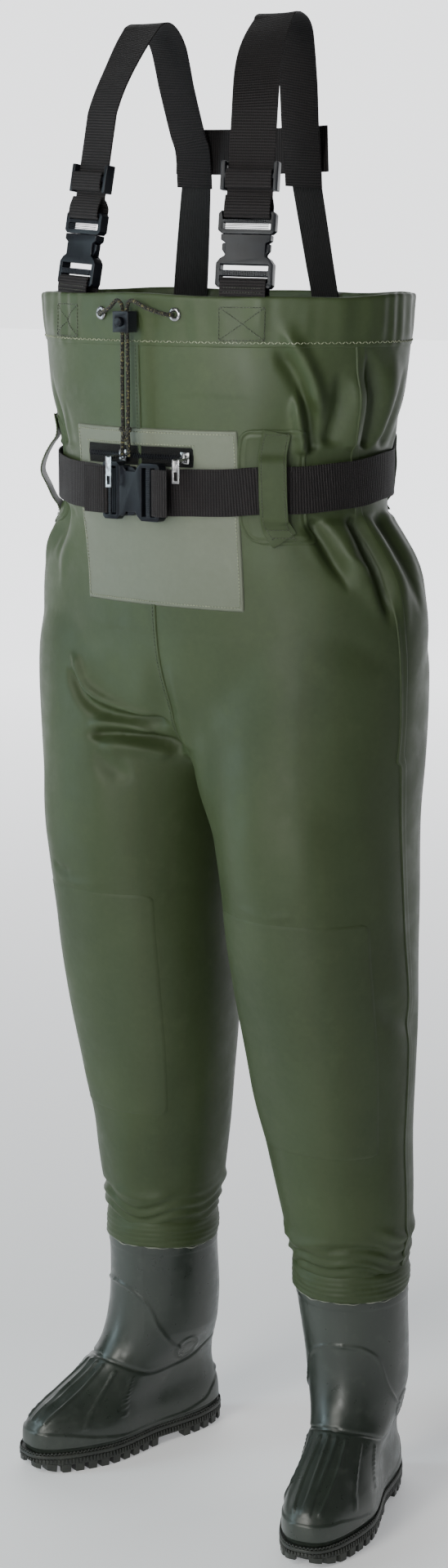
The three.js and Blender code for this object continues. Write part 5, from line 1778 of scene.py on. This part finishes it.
def edge_lug(start, end, hand, inner):
    """Corners of a lug that reaches from the sole's edge in to inner."""
    outer = [(hand * half_width(f) * 0.985, f) for f in np.linspace(start, end, 5)]
    narrow = min(abs(outer[0][0]), abs(outer[-1][0]))
    if narrow < inner + 4:
        inner = narrow * 0.5
    return [(hand * inner, start), *outer, (hand * inner, end)]


def chevron(f, half, point, length):
    """Corners of a V-shaped bar across the middle of the tread."""
    return [(-half, f), (0, f + point), (half, f), (half, f + 9), (0, f + length), (-half, f + 9)]


def outsole(word, side):
    """The sole with its welt step, edge lugs and chevrons."""
    turn = circle(160)
    rows = [spring(sole_ring(side, z, inset, turn), side) for z, inset in SOLE_EDGE]
    points = list(np.array(rows).reshape(-1, 3))
    faces = capped_faces(len(rows), len(turn))
    blocks = []
    for hand in (1, -1):
        for f in np.arange(3, 80, 16):
            blocks.append((edge_lug(max(f, 2), min(f + 11, 83.5), hand, 26), 0.0, 0.86))
        for f in np.arange(117.5, 283, 16):
            blocks.append((edge_lug(f, min(f + 11, 283.5), hand, 30), 0.0, 0.86))
    blocks += [(chevron(f, 18, 5, 14), 0.3, 0.9) for f in np.arange(8, 76, 17)]
    blocks += [(chevron(f, 24, 6, 15), 0.3, 0.9) for f in np.arange(121, 268, 17)]
    for corners, low_z, taper in blocks:
        faces += shifted(capped_faces(3, len(corners)), len(points))
        points += tread_block(side, corners, low_z, taper)
    made = mesh_object(f"sole_{word}", points, faces, "sole_rubber")
    made.data.set_sharp_from_angle(angle=math.radians(40))
    add_modifier(made, "BEVEL", width=0.5 * MM, segments=2, limit_method="ANGLE",
                 angle_limit=math.radians(45))
    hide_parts("outsole_" + word)


def welt(word, side):
    """Zigzag cord standing proud of the sole's top edge."""
    line = even(sole_ring(side, SOLE_TOP + 1.2, 0.6, np.linspace(0, 2 * math.pi, 1401)), 2.3)
    line[:, 2] += np.where(np.arange(len(line)) % 2, 1.3, -1.3)
    line = line[: len(line) // 2 * 2]
    tube(f"welt_{word}", np.vstack([line, line[:1]]), 0.8, "sole_rubber", closed=True, sides=8,
         step=0.9)


# up the rib: height from its middle, how far it stands out, half width
SOLE_RIB = [(-3.6, -0.4, 1.25), (-3.0, 0.8, 0.9), (3.0, 0.8, 0.9), (3.6, -0.4, 1.25)]
SOLE_RIB_FACES = [(0, 1, 3, 2), (2, 3, 5, 4), (4, 5, 7, 6), (0, 2, 4, 6), (1, 7, 5, 3)]
RIB_Z = 14.5


def sole_ribs(word, side):
    """Short upright ribs all round the edge of the sole."""
    line = even(sole_ring(side, RIB_Z, 0.2, np.linspace(0, 2 * math.pi, 1401)), 4.4)
    points, faces = [], []
    for p, way in zip(line[:-1], unit(np.gradient(line, axis=0))):
        out = unit(np.cross(way, [0, 0, 1.0]))
        if out @ (p - foot_place(side, 0, 140, RIB_Z)) < 0:
            out = -out
        faces += shifted(SOLE_RIB_FACES, len(points))
        for up, push, half in SOLE_RIB:
            for hand in (-1, 1):
                points.append(p + way * hand * half + out * push + [0, 0, up])
    points = spring(np.array(points), side)
    mesh_object(f"sole_ribs_{word}", points, faces, "sole_rubber", smooth=False)


# ---------------------------------------------------------------- the whole object
place_camera()
studio_lamps()
backdrop()
studio_floor()
drawcords()
set_folds()
body = garment()
skin = Skin(body)
hem_band()
tab_boxes()
centre_seams(skin)
side_seams(skin)
knee_patches(skin)
boot_cuffs()
pocket_front(skin)
pocket_stitching(skin)
pocket_zip(skin)
belt_loops(skin)
waist_belt()
small_metal()
shoulders()
for side_name, side_sign in SIDES:
    boot(side_name, side_sign)
    foot_bed(side_name, side_sign)
    outsole(side_name, side_sign)
    welt(side_name, side_sign)
    sole_ribs(side_name, side_sign)
plastic("cord_lock_button", "cord_lock_plunger", 0.6)

# the cloth gets its thickness and lining last, so that the other pieces lie on its outer face
body.data.materials.append(LOOKS["lining"])
add_modifier(body, "SOLIDIFY", thickness=1.3 * MM, offset=-1, material_offset=1)
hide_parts("front_panel_left", "front_panel_right", "back_panel_left", "back_panel_right")
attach(body, "waders")

low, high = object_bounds()
